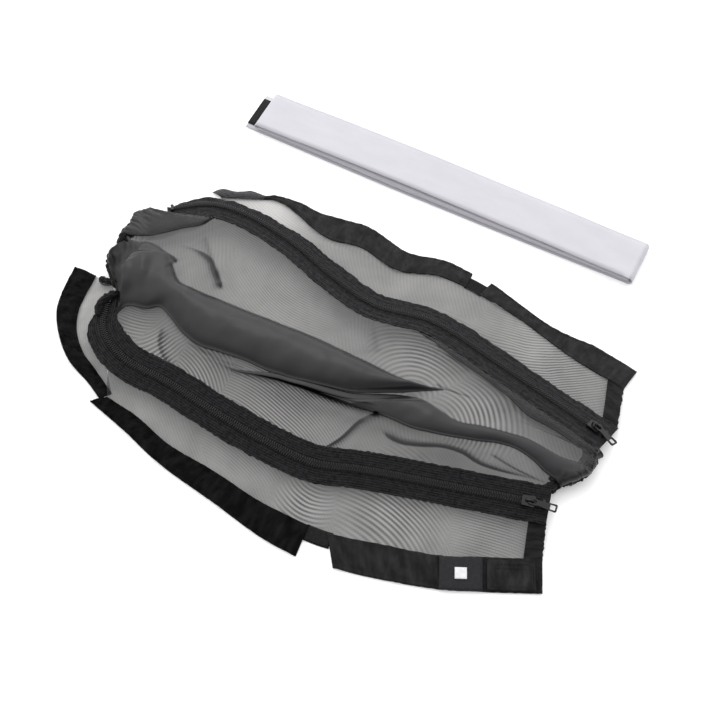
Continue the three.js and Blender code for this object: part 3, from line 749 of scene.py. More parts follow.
def middle_panel():
    shares = np.linspace(0, 1, ROWS)
    front, back = station_lines(shares)
    left = pull(LEFT_END, front[0], back[0], np.maximum(0, 1 - shares / 0.16) ** 2)
    right = pull(RIGHT_END, front[-1], back[-1], np.maximum(0, 1 - (1 - shares) / 0.12) ** 2)

    def drawn(share):
        return left(share) + right(share)

    width = np.linalg.norm((back - front)[:, :2], axis=1)
    edges = []
    for fold in FOLDS.values():
        near = crossing(Line(fold["near"]), front, back, drawn)
        far = crossing(Line(fold["far"]), front, back, drawn) if fold["far"] else np.ones(ROWS)
        if edges:
            near = np.maximum(near, edges[-1][1] - (edges[-1][1] - edges[-1][0]) * 0.98)
        edges.append((near, np.maximum(near, far), fold["rise"]))
    rows, places = [], []
    for i in range(ROWS):
        full = min(1.0, 0.45 + 3 * min(shares[i], 1 - shares[i]))

        def base(at, i=i, full=full):
            share = at / width[i]
            slope = front[i, 2] + share * (back[i, 2] - front[i, 2])
            return slope + PUFF * full * np.sin(math.pi * np.clip(share, 0, 1)) ** 0.8

        folds = [(near[i] * width[i], far[i] * width[i], rise) for near, far, rise in edges]
        across, height = folded_station(width[i], folds, base)
        share = across / width[i]
        point = front[i] + share[:, None] * (back[i] - front[i])
        point[:, 2] = height
        rows.append(point)
        places.append(share)
    grid = np.array(rows)
    places = np.array(places)
    grid[..., :2] += drawn(places)
    steps = np.linalg.norm(np.diff(grid, axis=1), axis=2)
    across = np.concatenate([np.zeros((ROWS, 1)), np.cumsum(steps, axis=1)], axis=1)
    along = shares[:, None] * FRONT_ZIP["line"].length + 0 * across
    edge = np.sin(math.pi * np.clip(across / across[:, -1:], 0, 1)) ** 0.5
    billow = ripple(grid[..., 0], grid[..., 1], 45, 5.0) * 1.8 + ripple(grid[..., 0], grid[..., 1], 17,
                                                                        9.0) * 0.7
    grid[..., 2] += edge * billow
    cover = SINGLE_COVER + 0.05 * ripple(along, across, 60, 15.0) + 0.06 * shares[:, None] ** 2
    crease(grid, cover)
    for number, (near, far, _) in enumerate(edges):
        start = number * FOLD_COLUMNS + RUN_STEPS
        doubled = smooth((far - near) * width / 6)[:, None]
        cover[:, start:start + BACK_STEPS + 2 * TURN_STEPS] += 0.75 * doubled
    calm = np.ones((ROWS, len(grid[0])))
    for fold, (near, far, _) in zip(FOLDS.values(), edges):
        inside = np.minimum(places - near[:, None], far[:, None] - places) * width[:, None]
        inside = smooth(inside / 2.4 + 0.6) * smooth((far - near) * width / 2)[:, None]
        calm -= 0.88 * inside * calm
        cover += np.maximum(fold["dense"] - cover, 0) * inside
    pleats = ripple(across * 0.9, along * 0.25, 3.4, 21.0)
    length = FRONT_ZIP["line"].length
    for end, deep, added_cover in ((along, 11.0, 0.34), (length - along, 6.0, 0.1)):
        gathered = np.exp(-(end / deep) ** 2)
        cover += (added_cover + 0.3 * pleats) * gathered
        grid[..., 2] += 1.5 * pleats * gathered
    ends = []
    for row, sign, radius, under in ((0, -1, 3.0, 5.0), (-1, 1, 5.0, 10.0)):
        chord = unit(back[row] - front[row]) * sign
        outward = np.array([chord[1], -chord[0], 0.0])
        ends.append(rolled(grid[row], outward, radius, under))
    grid = np.concatenate([ends[0][::-1], grid, ends[1]])
    extra = len(ends[0])
    before = np.arange(-extra, 0)[:, None] * 1.2
    along = np.concatenate([before + 0 * across[:1], along, length - before[::-1] + 0 * across[:1]])
    across = np.concatenate([across[:1].repeat(extra, 0), across, across[-1:].repeat(extra, 0)])
    cover = np.concatenate([cover[:1].repeat(extra, 0), cover, cover[-1:].repeat(extra, 0)])
    grid[..., 2] = np.maximum(grid[..., 2], 0.6)
    calm = np.concatenate([calm[:1].repeat(extra, 0), calm, calm[-1:].repeat(extra, 0)])
    return grid, cloth_grid(along, across), np.clip(cover, 0.1, 2.4), calm


panel, panel_cloth, cover, calm = middle_panel()
centre = add_sheet("centre_panel_cloth", panel, panel_cloth, MESH, "sheet", "sheer_mesh", ["centre_panel"],
                   cover, calm)

# ---- side panels ----


def beside(line, distance, shares):
    """Points beside a flat line, to its left."""
    tangent = line.tangent(shares)
    return line.at(shares) + np.stack([-tangent[:, 1], tangent[:, 0], tangent[:, 2]], axis=1) * distance


def panel_between(high, low, seed, columns=26):
    """Mesh between a zip's edge, above, and the hem, with soft billows."""
    t = np.linspace(0, 1, columns)[None, :, None]
    grid = high[:, None] * (1 - t) + low[:, None] * t
    along = np.concatenate([[0], np.cumsum(np.linalg.norm(np.diff(low, axis=0), axis=1))])[:, None]
    across = t[..., 0] * np.linalg.norm(high - low, axis=1)[:, None]
    billow = ripple(along, across, 34, seed) * 1.8 + ripple(along, across * 2, 13, seed + 5) * 0.6
    grid[..., 2] += np.sin(math.pi * t[..., 0]) * (1.6 + billow)
    grid[..., 2] = np.maximum(grid[..., 2], 0.5)
    return grid, cloth_grid(along, across + 300 * seed)


def zip_edge(zip_, shares):
    """The outer tape's edge, tucked under."""
    origin, _, v, w = zip_frames(zip_, shares)
    return origin - v * (tape_half(zip_, -1, shares) - TUCK)[:, None] - w * 0.8


SIDES = {
    "front_side_panel": (FRONT_ZIP, "front", (0.138, 0.975), (0, 0.97), 1.0, (0.03, 0.4),
                         SINGLE_COVER + 0.01),
    "back_side_panel": (BACK_ZIP, "back", (0.0, 0.975), (0, 0.97), 2.0, (0.03, 0.4), SINGLE_COVER - 0.01),
}
for name, (zip_, hem, zip_share, hem_share, seed, flat, cover) in SIDES.items():
    low = Line(HEM_LINES[hem]).at(np.linspace(*hem_share, 260))
    low[:, 2] = 0.8
    grid, cloth = panel_between(zip_edge(zip_, np.linspace(*zip_share, 260)), low, seed)
    cover = cover + 0.04 * ripple(grid[..., 0], grid[..., 1], 40, seed) + 0.05 * np.linspace(0, 1, 260)[:,
                                                                                                        None]
    if hem == "back":
        cover -= 0.26 * np.exp(-((grid[..., 0] + 110) / 34) ** 2)
    obj = add_sheet(f"{name}_cloth", grid, cloth, MESH, "sheet", "sheer_mesh", [name], cover)

LEFT_END_TOP = [(-199, -45, 3), (-190, -44, 8), (-184, -56, 11), (-184, -68, 11)]
low = Line(HEM_LINES["left"]).at(np.linspace(0, 1, 140))
low[:, 2] = 0.8
start = zip_edge(FRONT_ZIP, np.linspace(0.02, 0.14, 40))
high = Line([*LEFT_END_TOP, *(tuple(point) for point in start[::6])], 30).at(np.linspace(0, 1, 140))
grid, cloth = panel_between(high, low, 3.0)
cover = 0.5 + 0.06 * smooth(np.linspace(-0.6, 1, 140))[:, None] + 0.06 * ripple(grid[..., 0], grid[..., 1],
                                                                                9, 4.0)
obj = add_sheet("left_end_panel_cloth", grid, cloth, MESH, "sheet", "sheer_mesh", ["left_end_panel"], cover)


# ---- folded end hems ----


def end_hem(zip_, hem, zip_share, hem_share, rows=10, columns=40):
    zip_shares = np.linspace(*zip_share, rows)
    hem_shares = np.linspace(*hem_share, rows)
    origin, _, v, w = zip_frames(zip_, zip_shares)
    high = origin - v * (TAPE_HALF - TUCK) - w * 0.4
    low = Line(HEM_LINES[hem]).at(hem_shares)
    low[:, 2] = 1.6
    t = np.linspace(0, 1, columns)[None, :, None]
    grid = high[:, None] * (1 - t) + low[:, None] * t
    s = np.linspace(0, 1, rows)[:, None]
    grid[..., 2] += np.sin(math.pi * t[..., 0]) * 1.5 + ripple(s * 14, t[..., 0] * 42, 7, 8.0) * 0.6
    grid[..., 2] = np.maximum(grid[..., 2], 1.4)
    grid[..., 0] += s * 1.1 * ripple(t[..., 0] * 42, t[..., 0] * 0, 4, 19.0)
    return grid, cloth_grid(t[..., 0] * 42, s * 12)


for name, zip_, hem in (("front_end_hem", FRONT_ZIP, "front"), ("back_end_hem", BACK_ZIP, "back")):
    grid, cloth = end_hem(zip_, hem, (0.968, 1.0), (0.962, 1.0))
    under = grid - np.array([0, 0, 1.1])
    obj = add_slab(f"{name}_fold", grid, under, cloth, SATIN_MID, "sheet", "folded_mesh", [name])

# ---- hem tapes ----


def hem_tape(hem, share, outer, columns=16, step=1.6, seed=0.0):
    inner_line = Line(HEM_LINES[hem])
    outer_line = Line(outer)
    rows = int(outer_line.length / step)
    inner = inner_line.at(np.linspace(*share, rows))
    edge = outer_line.at(np.linspace(0, 1, rows))
    t = np.linspace(0, 1, columns)[None, :, None]
    grid = edge[:, None] * (1 - t) + inner[:, None] * t
    along = np.linspace(0, outer_line.length, rows)[:, None]
    across = t[..., 0] * 27
    pucker = np.abs(ripple(along, across * 0.4, 8, seed)) * 1.8 + np.maximum(ripple(along, across, 30,
                                                                                    seed + 3), 0) * 2
    edge_dip = 1 - np.exp(-((t[..., 0] - 0.12) / 0.05) ** 2) * 0.4 - np.exp(-((t[...,
                                                                                 0] - 0.9) / 0.05) ** 2) * 0.4
    under = grid.copy()
    under[..., 2] = 0.05 + pucker * 0.8
    grid[..., 2] = under[..., 2] + HEM_THICK * edge_dip
    return grid, under, cloth_grid(along, across)


TONES = {"left": SATIN, "front": SATIN, "back": SATIN_PAINTED_SHEEN}
for number, (name, (hem, share, outer)) in enumerate(HEM_TAPES.items()):
    grid, under, cloth = hem_tape(hem, share, outer, seed=10.0 + number)
    material = SATIN_MID if name == "front_hem_tape_right" else TONES[hem]
    obj = add_slab(f"{name}_satin", grid, under, cloth, material, "sheet", "hem_tape", [name])

for name, (hem, share, wide) in TURNED_HEMS.items():
    line = Line(HEM_LINES[hem])
    shares = np.linspace(*share, 14)
    side = -1 if hem == "front" else 1
    inner = beside(line, -side * 1.0, shares)
    outer = beside(line, side * wide, shares)
    t = np.linspace(0, 1, 8)[None, :, None]
    grid = inner[:, None] * (1 - t) + outer[:, None] * t
    grid[..., 2] = 0.9
    cloth = cloth_grid(np.linspace(0, 25, 14)[:, None], t[..., 0] * wide)
    obj = add_slab(f"{name}_fold", grid, grid - np.array([0, 0, 0.8]), cloth, FOLDED, "sheet",
                   "folded_mesh", [name])

BACK_START_INNER = [(-150, 73.5), (-126, 82), (-116, 86.3)]
BACK_START_OUTER = [(-159.5, 75), (-154, 81), (-139.5, 84.5), (-130, 89.5), (-116, 90)]
BACK_START_LONG, BACK_START_WIDE = 44, 8


def back_hem_start():
    """The mesh's own hem where the back tape hasn't begun: a narrow, puckered fold."""
    inner = Line(BACK_START_INNER).at(np.linspace(0, 1, 60))
    outer = Line(BACK_START_OUTER).at(np.linspace(0, 1, 60))
    t = np.linspace(0, 1, 12)[None, :, None]
    grid = inner[:, None] * (1 - t) + outer[:, None] * t
    along = np.linspace(0, BACK_START_LONG, 60)[:, None]
    across = t[..., 0] * BACK_START_WIDE
    grid[..., 2] = 1.6 + np.abs(ripple(along, across, 7, 71.0)) + 1.2 * np.sin(math.pi * t[..., 0])
    under = grid - np.array([0, 0, 1.0])
    obj = add_slab("back_hem_start_fold", grid, under, cloth_grid(along, across), FOLDED_PALE, "sheet",
                   "folded_mesh", [])


back_hem_start()

# ---- zips ----


def zip_tape(zip_, side, rows=420, columns=34):
    shares = np.linspace(0, 1, rows)
    origin, _, v, w = zip_frames(zip_, shares)
    along = shares[:, None] * zip_["line"].length
    t = np.linspace(0, 1, columns)[None, :]
    d = TAPE_EDGE + t * (tape_half(zip_, side, shares)[:, None] - TAPE_EDGE)
    ragged = 0.7 * ripple(along, t * 0, 3.2, side * 3.0 + zip_["tilt"], 3) + 0.7 * ripple(along, t * 0, 15,
                                                                                          2.0)
    d = d + smooth((t - 0.6) / 0.4) * ragged
    groove = sum(-0.16 * np.exp(-((d - rib) / 0.4) ** 2) for rib in (4.3, 6.3, 8.2, 10.4, 12.4))
    wavy = smooth((t - 0.4) / 0.6) * ripple(along, d, 10, side * 7.0 + zip_["tilt"]) * 1.2
    height = groove + wavy
    top = origin[:, None] + v[:, None] * (side * d[..., None]) + w[:, None] * (height + TAPE_THICK / 2)[...,
                                                                                                        None]
    under = origin[:, None] + v[:, None] * (side * d[..., None]) + w[:, None] * (wavy - TAPE_THICK / 2)[...,
                                                                                                        None]
    return top, under, cloth_grid(along, d)


def zip_coil(zip_, side, pitch=1.9, turn_steps=10, sides=6):
    """Half of the nylon coil. Its heads reach past the middle line, between the other half's heads."""
    length = zip_["line"].length
    turns = int((length - 2 * END_BARE) / pitch)
    steps = turns * turn_steps
    turn = np.arange(steps + 1) / turn_steps
    shares = (END_BARE + pitch * (turn + (0.25 if side > 0 else -0.25))) / length
    origin, u, v, w = zip_frames(zip_, shares)
    angle = 2 * math.pi * turn[:, None]
    path = origin + v * side * (1.25 + 1.4 * np.cos(angle)) + w * (1.55 + 0.75 * np.sin(angle))
    rings = tube(path, u, 0.36, sides)
    return rings.reshape(-1, 3), tube_faces(len(path), sides)


def stitch_row(zip_, d, pitch=2.6, long=1.9, radius=0.22):
    """A row of short stitches along the tape, at a distance from the chain's middle."""
    length = zip_["line"].length
    starts = np.arange(40 if d > 0 else zip_["turned_under"][2], length - END_BARE, pitch)
    points, faces = [], []
    for at in starts:
        shares = (at + np.array([0, 0.25, 0.75, 1]) * long) / length
        origin, _, v, w = zip_frames(zip_, shares)
        rise = np.array([-0.1, 0.25, 0.25, -0.1])[:, None]
        path = origin + v * d + w * (TAPE_THICK / 2 - 0.15 + rise)
        rings = tube(path, v, radius, 5)
        faces += tube_faces(4, 5, len(points) * 20)
        points.append(rings.reshape(-1, 3))
    return np.concatenate(points), faces


def joined(parts):
    points, faces, count = [], [], 0
    for part_points, part_faces in parts:
        points.append(part_points)
        faces += [tuple(i + count for i in face) for face in part_faces]
        count += len(part_points)
    return np.concatenate(points), faces


def add_zip(zip_):
    name = zip_["name"]
    material = ZIP_TAPE if zip_ is FRONT_ZIP else ZIP_TAPE_PALE
    for side, word in ((1, "inner"), (-1, "outer")):
        top, under, cloth = zip_tape(zip_, side)
        obj = add_slab(f"{name}_{word}_webbing", top, under, cloth, material, "sheet", "zip_tape",
                       [f"{name}_{word}_tape"])
        points, faces = zip_coil(zip_, side)
        add_piece(f"{name}_{word}_teeth", points, faces, COIL, "sheet", "zip_coil", [f"{name}_{word}_coil"])
    rows = [stitch_row(zip_, side * d) for side in (1, -1) for d in (4.3, 8.2, 12.4)]
    points, faces = joined(rows)
    add_piece(f"{name}_stitching", points, faces, THREAD, "sheet", "zip_tape")


for zip_ in (FRONT_ZIP, BACK_ZIP):
    add_zip(zip_)

# ---- gathered ends ----


def gather(name, points, radius, seed, pinches=()):
    """A shirred casing: a tube that its elastic draws into lumps and pleats."""
    line = Line(points)
    rows, sides = 260, 48
    shares = np.linspace(0, 1, rows)
    path = line.at(shares)
    rings = tube(path, np.tile(np.array([0.0, 0.0, 1.0]), (rows, 1)), 1.0, sides)
    spoke = rings - path[:, None]
    angle = np.linspace(0, 2 * math.pi, sides, endpoint=False)[None, :]
    along = shares[:, None] * line.length
    pleats = ripple(along, np.sin(angle) * 6, 3.0, seed)
    lumps = ripple(along, np.cos(angle) * 8, 9, seed + 4)
    ends = 0.4 + 0.6 * np.sin(math.pi * shares) ** 0.35
    for place, depth in pinches:
        ends = ends * (1 - depth * np.exp(-((shares - place) / 0.035) ** 2))
    size = (radius * ends)[:, None]
    grid = path[:, None] + spoke * (size * (1 + 0.36 * pleats + 0.42 * lumps))[..., None]
    grid[..., 2] = np.maximum(grid[..., 2], 0.4)
    cloth = cloth_grid(along, angle * 4)
    obj = add_piece(name, grid, tube_faces(rows, sides), FOLDED, "sheet", "folded_mesh", cloth=cloth)
    return obj


def gather_line(end, lift):
    """Along the middle panel's end, inside its roll, from its front corner to its back one."""
    shares = np.linspace(0, 1, 14)
    points = np.zeros((14, 3))
    for k in range(2):
        points[:, k] = np.interp(shares, end[0], [point[k] for point in end[1]])
    points[:, 2] = 10.5 + lift + PUFF * 0.4 * np.sin(math.pi * shares)
    return points.tolist()


for name, end, lift, radius, seed, pinches in (
        ("left", LEFT_END, -1.0, 4.2, 31.0, ((0.24, 0.4), (0.52, 0.6), (0.74, 0.3))),
        ("right", RIGHT_END, -5.0, 4.2, 37.0, ())):
    line = gather_line(end, lift)
    if name == "left":
        line = [(-184, -79, 13), (-187, -68, 14), (-182, -58, 14), *line[1:]]
    shirring = gather(f"{name}_gather_shirring", line, radius, seed, pinches)
    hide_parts(f"{name}_gather_casing")
    path = Line(line, 20).at(np.linspace(0, 1, 120))
    rings = tube(path, np.tile(np.array([0.0, 0.0, 1.0]), (120, 1)), 1.1, 8)
    cloth = cloth_grid(np.linspace(0, 110, 120)[:, None], np.arange(8)[None, :] * 0.8)
    add_piece(f"{name}_elastic_cord", rings, tube_faces(120, 8), ELASTIC, "sheet", "elastic_band",
              [f"{name}_elastic"], cloth)
gather("left_tie_shirring", [(-204, -41.5, 2.5), (-198, -43, 4.5), (-192, -43, 7), (-186, -40, 9)], 3.2, 33.0)
gather("front_corner_shirring", [(196, -76, 10), (201, -71, 10), (206, -66, 9)], 3.0, 35.0)

# ---- label and patch ----


def flat_patch(name, long, wide, middle, turn, lift, thick, material, slot, replaced, seed):
    """A small flat piece sewn on the hem, very slightly uneven."""
    rows, columns = 24, 18
    x = np.linspace(-long / 2, long / 2, rows)[:, None]
    y = np.linspace(-wide / 2, wide / 2, columns)[None, :]
    x, y = np.broadcast_arrays(x, y)
    c, s = math.cos(math.radians(turn)), math.sin(math.radians(turn))
    rim = np.minimum(1, np.minimum(long / 2 - abs(x), wide / 2 - abs(y)) / 0.8)
    z = lift + 0.3 * ripple(x, y, 9, seed) + thick * (0.4 + 0.6 * rim)
    top = np.stack([middle[0] + c * x - s * y, middle[1] + s * x + c * y, z], axis=-1)
    under = top.copy()
    under[..., 2] = lift - 0.3
    obj = add_slab(name, top, under, cloth_grid(x, y), material, "sheet", slot, replaced)
    return obj


def stitches(name, path, up, pitch, long, radius, material, slot):
    """Short stitches end to end along a path of points, standing just out of the cloth."""
    line = Line(path, 24)
    starts = np.arange(pitch / 2, line.length - long, pitch)
    parts = []
    for at in starts:
        shares = (at + np.array([0, 0.25, 0.75, 1]) * long) / line.length
        points = line.at(shares)
        points[:, 2] += up + np.array([-0.1, 0.2, 0.2, -0.1])
        rings = tube(points, np.tile(np.array([0.0, 0.0, 1.0]), (4, 1)), radius, 5)
        parts.append((rings.reshape(-1, 3), tube_faces(4, 5)))
    points, faces = joined(parts)
    return add_piece(name, points, faces, material, "sheet", slot)


def patch_corner(middle, turn, x, y, z):
    c, s = math.cos(math.radians(turn)), math.sin(math.radians(turn))
    return (middle[0] + c * x - s * y, middle[1] + s * x + c * y, z)


LABEL_AT = (165, -161.3)
PATCH_AT = (199.5, -147.6)
PATCH_TURN = 22
flat_patch("label_woven", 32, 26, LABEL_AT, PATCH_TURN, 3.2, 0.6, LABEL, "label_weave", ["size_label"], 51.0)
flat_patch("label_mark", 9, 9, (165, -161.6), PATCH_TURN, 4.4, 0.5, MARK, "label_weave", [], 51.0)
flat_patch("patch_tape", 36, 24, PATCH_AT, PATCH_TURN, 2.8, 0.5, SATIN_MID, "hem_tape", ["corner_patch"],
           53.0)
for number, (x0, y0, x1, y1) in enumerate(((-16, 8.5, 15.5, 9), (-16, -9, 15.5, -9), (15.5, -9, 15.5, 9),
                                           (-13, 5.5, 12, 5.5))):
    ends = [patch_corner(PATCH_AT, PATCH_TURN, x0, y0, 3.4), patch_corner(PATCH_AT, PATCH_TURN, x1, y1, 3.4)]
    stitches(f"patch_stitching_{number}", ends, 0.05, 2.4, 1.7, 0.2, THREAD, "hem_tape")

# ---- folded strip ----

STRIP_LONG = 357.0
STRIP_TURN = -3.13
STRIP_MIDDLE = np.array([22.0, 160.6, 0.0])
STRIP_TAIL = 11.0
LAY_HEIGHTS = (1.3, 3.1, 5.7, 7.5)
LAY_BOWS = (-2.6, -1.9, -1.0, 0.7)  # how far each lay bows aside in its middle, from the floor up


def strip_path():
    """The tape's path seen from its long side: places, and the direction of its lined face."""
    right = STRIP_LONG / 2 - 5.6
    left = -STRIP_LONG / 2 + 2.7
    at, out = [], []

    def run(x0, x1, lay, facing, steps=60):
        for t in np.linspace(0, 1, steps, endpoint=False):
            at.append((x0 + (x1 - x0) * t, LAY_HEIGHTS[lay], LAY_BOWS[lay]))
            out.append((0.0, facing))

    def turn(x, low_lay, high_lay, start, end, facing, steps=14):
        radius = (LAY_HEIGHTS[high_lay] - LAY_HEIGHTS[low_lay]) / 2
        z = LAY_HEIGHTS[low_lay] + radius
        bows = LAY_BOWS[low_lay], LAY_BOWS[high_lay]
        for angle in np.radians(np.linspace(start, end, steps)):
            share = 0.5 + 0.5 * math.sin(angle)
            at.append((x + radius * math.cos(angle), z + radius * math.sin(angle),
                       bows[0] + (bows[1] - bows[0]) * share))
            out.append((math.cos(angle) * facing, math.sin(angle) * facing))

    run(left - STRIP_TAIL, right, 0, -1)
    turn(right, 0, 3, -90, 90, 1)
    run(right, left, 3, 1)
    turn(left, 2, 3, 90, 270, 1)
    run(left, right, 2, -1)
    turn(right, 1, 2, 90, -90, -1)
    run(right, left + 3, 1, 1)
    return np.array(at), np.array(out)


def strip_layer(inside, outside, wide):
    at, out = strip_path()
    columns = 9
    y = np.linspace(-wide / 2, wide / 2, columns)[None, :]
    along = np.concatenate([[0], np.cumsum(np.linalg.norm(np.diff(at[:, :2], axis=0), axis=1))])[:, None]
    x = at[:, :1]
    middle = np.clip(1 - (2 * (x + 18) / STRIP_LONG) ** 2, 0, 1)
    bowed = at[:, 2:] * middle + 0.8 * middle
    drift = 0.5 * ripple(along, along * 0, 120, 61.0)
    lift = 1 + 0.12 * ripple(x, at[:, 2:] * 20, 110, 63.0)
    cloth = cloth_grid(along, y + 0 * along)
    c, s = math.cos(math.radians(STRIP_TURN)), math.sin(math.radians(STRIP_TURN))
    faces = []
    for offset in (outside, inside):
        px = x + offset * out[:, :1] + 0 * y
        pz = (at[:, 1:2] + offset * out[:, 1:]) * lift + 0 * y
        py = y + bowed + drift
        faces.append(np.stack([STRIP_MIDDLE[0] + c * px - s * py, STRIP_MIDDLE[1] + s * px + c * py,
                               np.maximum(pz, 0.05)], axis=-1))
    return faces[0], faces[1], cloth


for name, inside, outside, wide, material, slot, node in (
        ("hook_strip", -0.6, 0.6, 30, HOOKS, "hook_tape", "hook_tape"),
        ("liner_strip", 0.75, 1.05, 39, LINER, "liner", "release_liner")):
    top, under, cloth = strip_layer(inside, outside, wide)
    obj = add_slab(name, top, under, cloth, material, "strip", slot, [node])

# ---- sliders and pull tabs ----


def plate(outlines, z0, z1, bevel=0.18):
    """A flat plate between two heights, with rounded edges. Outlines after the first are holes."""
    curve = bpy.data.curves.new("plate", "CURVE")
    curve.dimensions = "2D"
    curve.fill_mode = "BOTH"
    curve.extrude = (z1 - z0) / 2 - bevel
    curve.bevel_depth = bevel
    curve.bevel_resolution = 2
    curve.offset = -bevel
    for outline in outlines:
        path = curve.splines.new("POLY")
        path.points.add(len(outline) - 1)
        path.use_cyclic_u = True
        for point, (x, y) in zip(path.points, outline):
            point.co = (x, y, 0, 1)
    obj = bpy.data.objects.new("plate", curve)
    mesh = bpy.data.meshes.new_from_object(obj)
    points = np.array([v.co for v in mesh.vertices]) + np.array([0, 0, (z0 + z1) / 2])
    faces = [tuple(face.vertices) for face in mesh.polygons]
    bpy.data.objects.remove(obj)
    bpy.data.curves.remove(curve)
    bpy.data.meshes.remove(mesh)
    return points, faces


def mirrored(half):
    """A closed outline from its points on one side, from tail to nose."""
    return [*half, *[(x, -y) for x, y in reversed(half)]]


def rounded(x0, x1, half, corner, steps=5):
    """A rectangle with round corners."""
    out = []
    for cx, cy, start in ((x1 - corner, half - corner, 0), (x0 + corner, half - corner, 90),
                          (x0 + corner, corner - half, 180), (x1 - corner, corner - half, 270)):
        for angle in np.radians(np.linspace(start, start + 90, steps)):
            out.append((cx + corner * math.cos(angle), cy + corner * math.sin(angle)))
    return out


SLIDER_OUTLINE = mirrored([(-5.5, 2.6), (-5.2, 3.5), (-4.4, 3.9), (0.5, 4.1), (2.6, 4.5), (3.9, 4.5),
                           (4.6, 3.6), (5.0, 1.4)])
SIDE_OUTLINE = [(-5.3, 3.3), (-5.1, 3.9), (0.5, 4.1), (2.6, 4.5), (3.8, 4.5), (3.6, 3.9), (0.5, 3.5)]


def crown():
    """The bridge that holds the pull tab."""
    path = np.array([(-2.4, 0, 3.7), (-2.5, 0, 5.4), (-2.0, 0, 6.5), (-0.8, 0, 7.0), (1.6, 0, 7.0),
                     (3.0, 0, 6.5), (3.6, 0, 5.4), (3.7, 0, 3.7)], float)
    path = Line(path, 6).at(np.linspace(0, 1, 26))
    rings = tube(path, np.tile(np.array([0.0, 1.0, 0.0]), (len(path), 1)), 0.62, 8)
    rings[..., 1] *= 1.5
    return rings.reshape(-1, 3), tube_faces(len(path), 8)


def slider_parts():
    other_side = [(x, -y) for x, y in reversed(SIDE_OUTLINE)]
    return [
        plate([SLIDER_OUTLINE], 3.0, 4.0),
        plate([SLIDER_OUTLINE], -1.9, -0.9),
        plate([SIDE_OUTLINE], 0.9, 3.2),
        plate([other_side], 0.9, 3.2),
        plate([rounded(1.5, 4.2, 0.6, 0.4)], -1.2, 3.2),
        crown(),
    ]


def tab_parts():
    """The pull tab about its pivot, pointing along its zip: a loop, a waist and a rimmed window at its tip."""
    outline = mirrored([(-1.1, 1.0), (-0.9, 2.1), (-0.2, 2.6), (4.6, 2.6), (6.4, 2.1), (8.5, 2.15),
                        (15.5, 2.9), (19.6, 3.2), (20.7, 2.8), (21.0, 2.0)])
    loop = rounded(0.6, 4.9, 1.45, 1.0)
    window = rounded(15.6, 19.6, 1.8, 0.6)
    rim = rounded(14.8, 20.4, 2.6, 0.9)
    return [
        plate([outline, loop, window], -0.5, 0.5),
        plate([rim, window], -0.62, 0.62, 0.12),
    ]


def place_parts(parts, frame_at, turn=0.0, pivot=(0.0, 0.0), swing=0.0):
    origin, u, v, w = frame_at
    points, faces = joined(parts)
    c, s = math.cos(math.radians(swing)), math.sin(math.radians(swing))
    points = np.stack([points[:, 0] * c - points[:, 1] * s, points[:, 0] * s + points[:, 1] * c,
                       points[:, 2]], axis=1)
    c, s = math.cos(math.radians(turn)), math.sin(math.radians(turn))
    x = points[:, 0] * c + points[:, 2] * s + pivot[0]
    z = -points[:, 0] * s + points[:, 2] * c + pivot[1]
    return origin + x[:, None] * u + points[:, 1:2] * v + z[:, None] * w, faces


TAB_SWING = {"front_zip": -6.0, "back_zip": 12.0}
for zip_, slider_body, tab_body in ((FRONT_ZIP, "front_slider", "front_pull"),
                                    (BACK_ZIP, "back_slider", "back_pull")):
    line = zip_["line"]
    index = np.searchsorted(line.points[:, 0], zip_["slider_x"], sorter=np.argsort(line.points[:, 0]))
    share = line.along[np.argsort(line.points[:, 0])[index]] / line.length
    frame_at = [value[0] for value in zip_frames(zip_, np.array([share]))]
    name = zip_["name"]
    points, faces = place_parts(slider_parts(), frame_at)
    obj = add_piece(f"{name}_slider_shell", points, faces, METAL, slider_body, "zip_metal",
                    [f"{name}_slider"],
                    shade_smooth=False)
    points, faces = place_parts(tab_parts(), frame_at, 4.5, (0.7, 5.25), TAB_SWING[name])
    obj = add_piece(f"{name}_tab", points, faces, METAL, tab_body, "zip_metal", [f"{name}_pull_tab"],
                    shade_smooth=False)

# ---- carried-over nodes ----

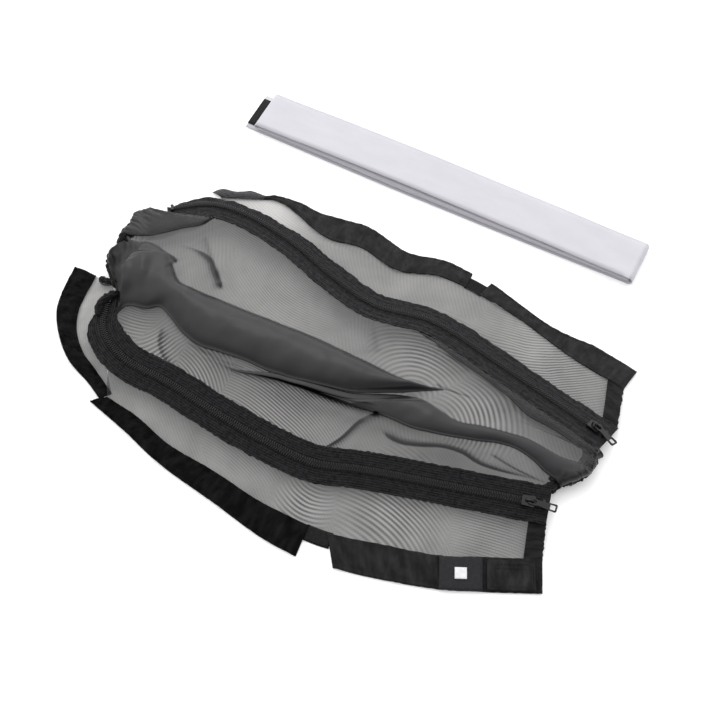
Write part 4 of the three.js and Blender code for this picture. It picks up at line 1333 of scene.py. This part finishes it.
CARRIED = {
    METAL: ["front_zip_inner_top_stop", "front_zip_outer_top_stop", "front_zip_bottom_stop",
            "back_zip_inner_top_stop", "back_zip_outer_top_stop", "back_zip_bottom_stop"],
}
for material, names in CARRIED.items():
    for name in names:
        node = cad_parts[name]
        node.data.materials.clear()
        node.data.materials.append(material)

# ---- floor and light ----


def add_floor():
    mesh = bpy.data.meshes.new("floor")
    half = 3.0
    mesh.from_pydata([(-half, -half, -0.0003), (half, -half, -0.0003), (half, half, -0.0003),
                      (-half, half, -0.0003)], [], [(0, 1, 2, 3)])
    floor = bpy.data.objects.new("floor", mesh)
    mesh.materials.append(floor_white())
    bpy.context.scene.collection.objects.link(floor)


def add_area(name, place, size, power):
    data = bpy.data.lights.new(name, "AREA")
    data.size = size
    data.energy = power
    light = bpy.data.objects.new(name, data)
    light.location = place
    light.rotation_mode = "QUATERNION"
    light.rotation_quaternion = (LOOK_AT - Vector(place)).to_track_quat("-Z", "Y")
    bpy.context.scene.collection.objects.link(light)


def add_world():
    """A white studio, brighter towards the back left."""
    world = bpy.data.worlds.new("studio")
    world.use_nodes = True
    tree = world.node_tree
    where = tree.nodes.new("ShaderNodeTexCoord")
    lean = tree.nodes.new("ShaderNodeVectorMath")
    lean.operation = "DOT_PRODUCT"
    lean.inputs[1].default_value = Vector((-0.45, 0.6, 0.66)).normalized()
    level = tree.nodes.new("ShaderNodeMapRange")
    level.interpolation_type = "SMOOTHSTEP"
    level.inputs["From Min"].default_value = -0.3
    level.inputs["To Min"].default_value = 0.5
    level.inputs["To Max"].default_value = 1.9
    tree.links.new(where.outputs["Generated"], lean.inputs[0])
    tree.links.new(lean.outputs["Value"], level.inputs["Value"])
    background = tree.nodes["Background"]
    background.inputs["Color"].default_value = (1, 1, 1, 1)
    tree.links.new(level.outputs["Result"], background.inputs["Strength"])
    bpy.context.scene.world = world


add_floor()
add_world()
add_area("key", (-0.5, 1.0, 1.3), 0.8, 3)
bpy.context.scene.view_settings.view_transform = "Standard"
bpy.context.scene.cycles.transparent_max_bounces = 32
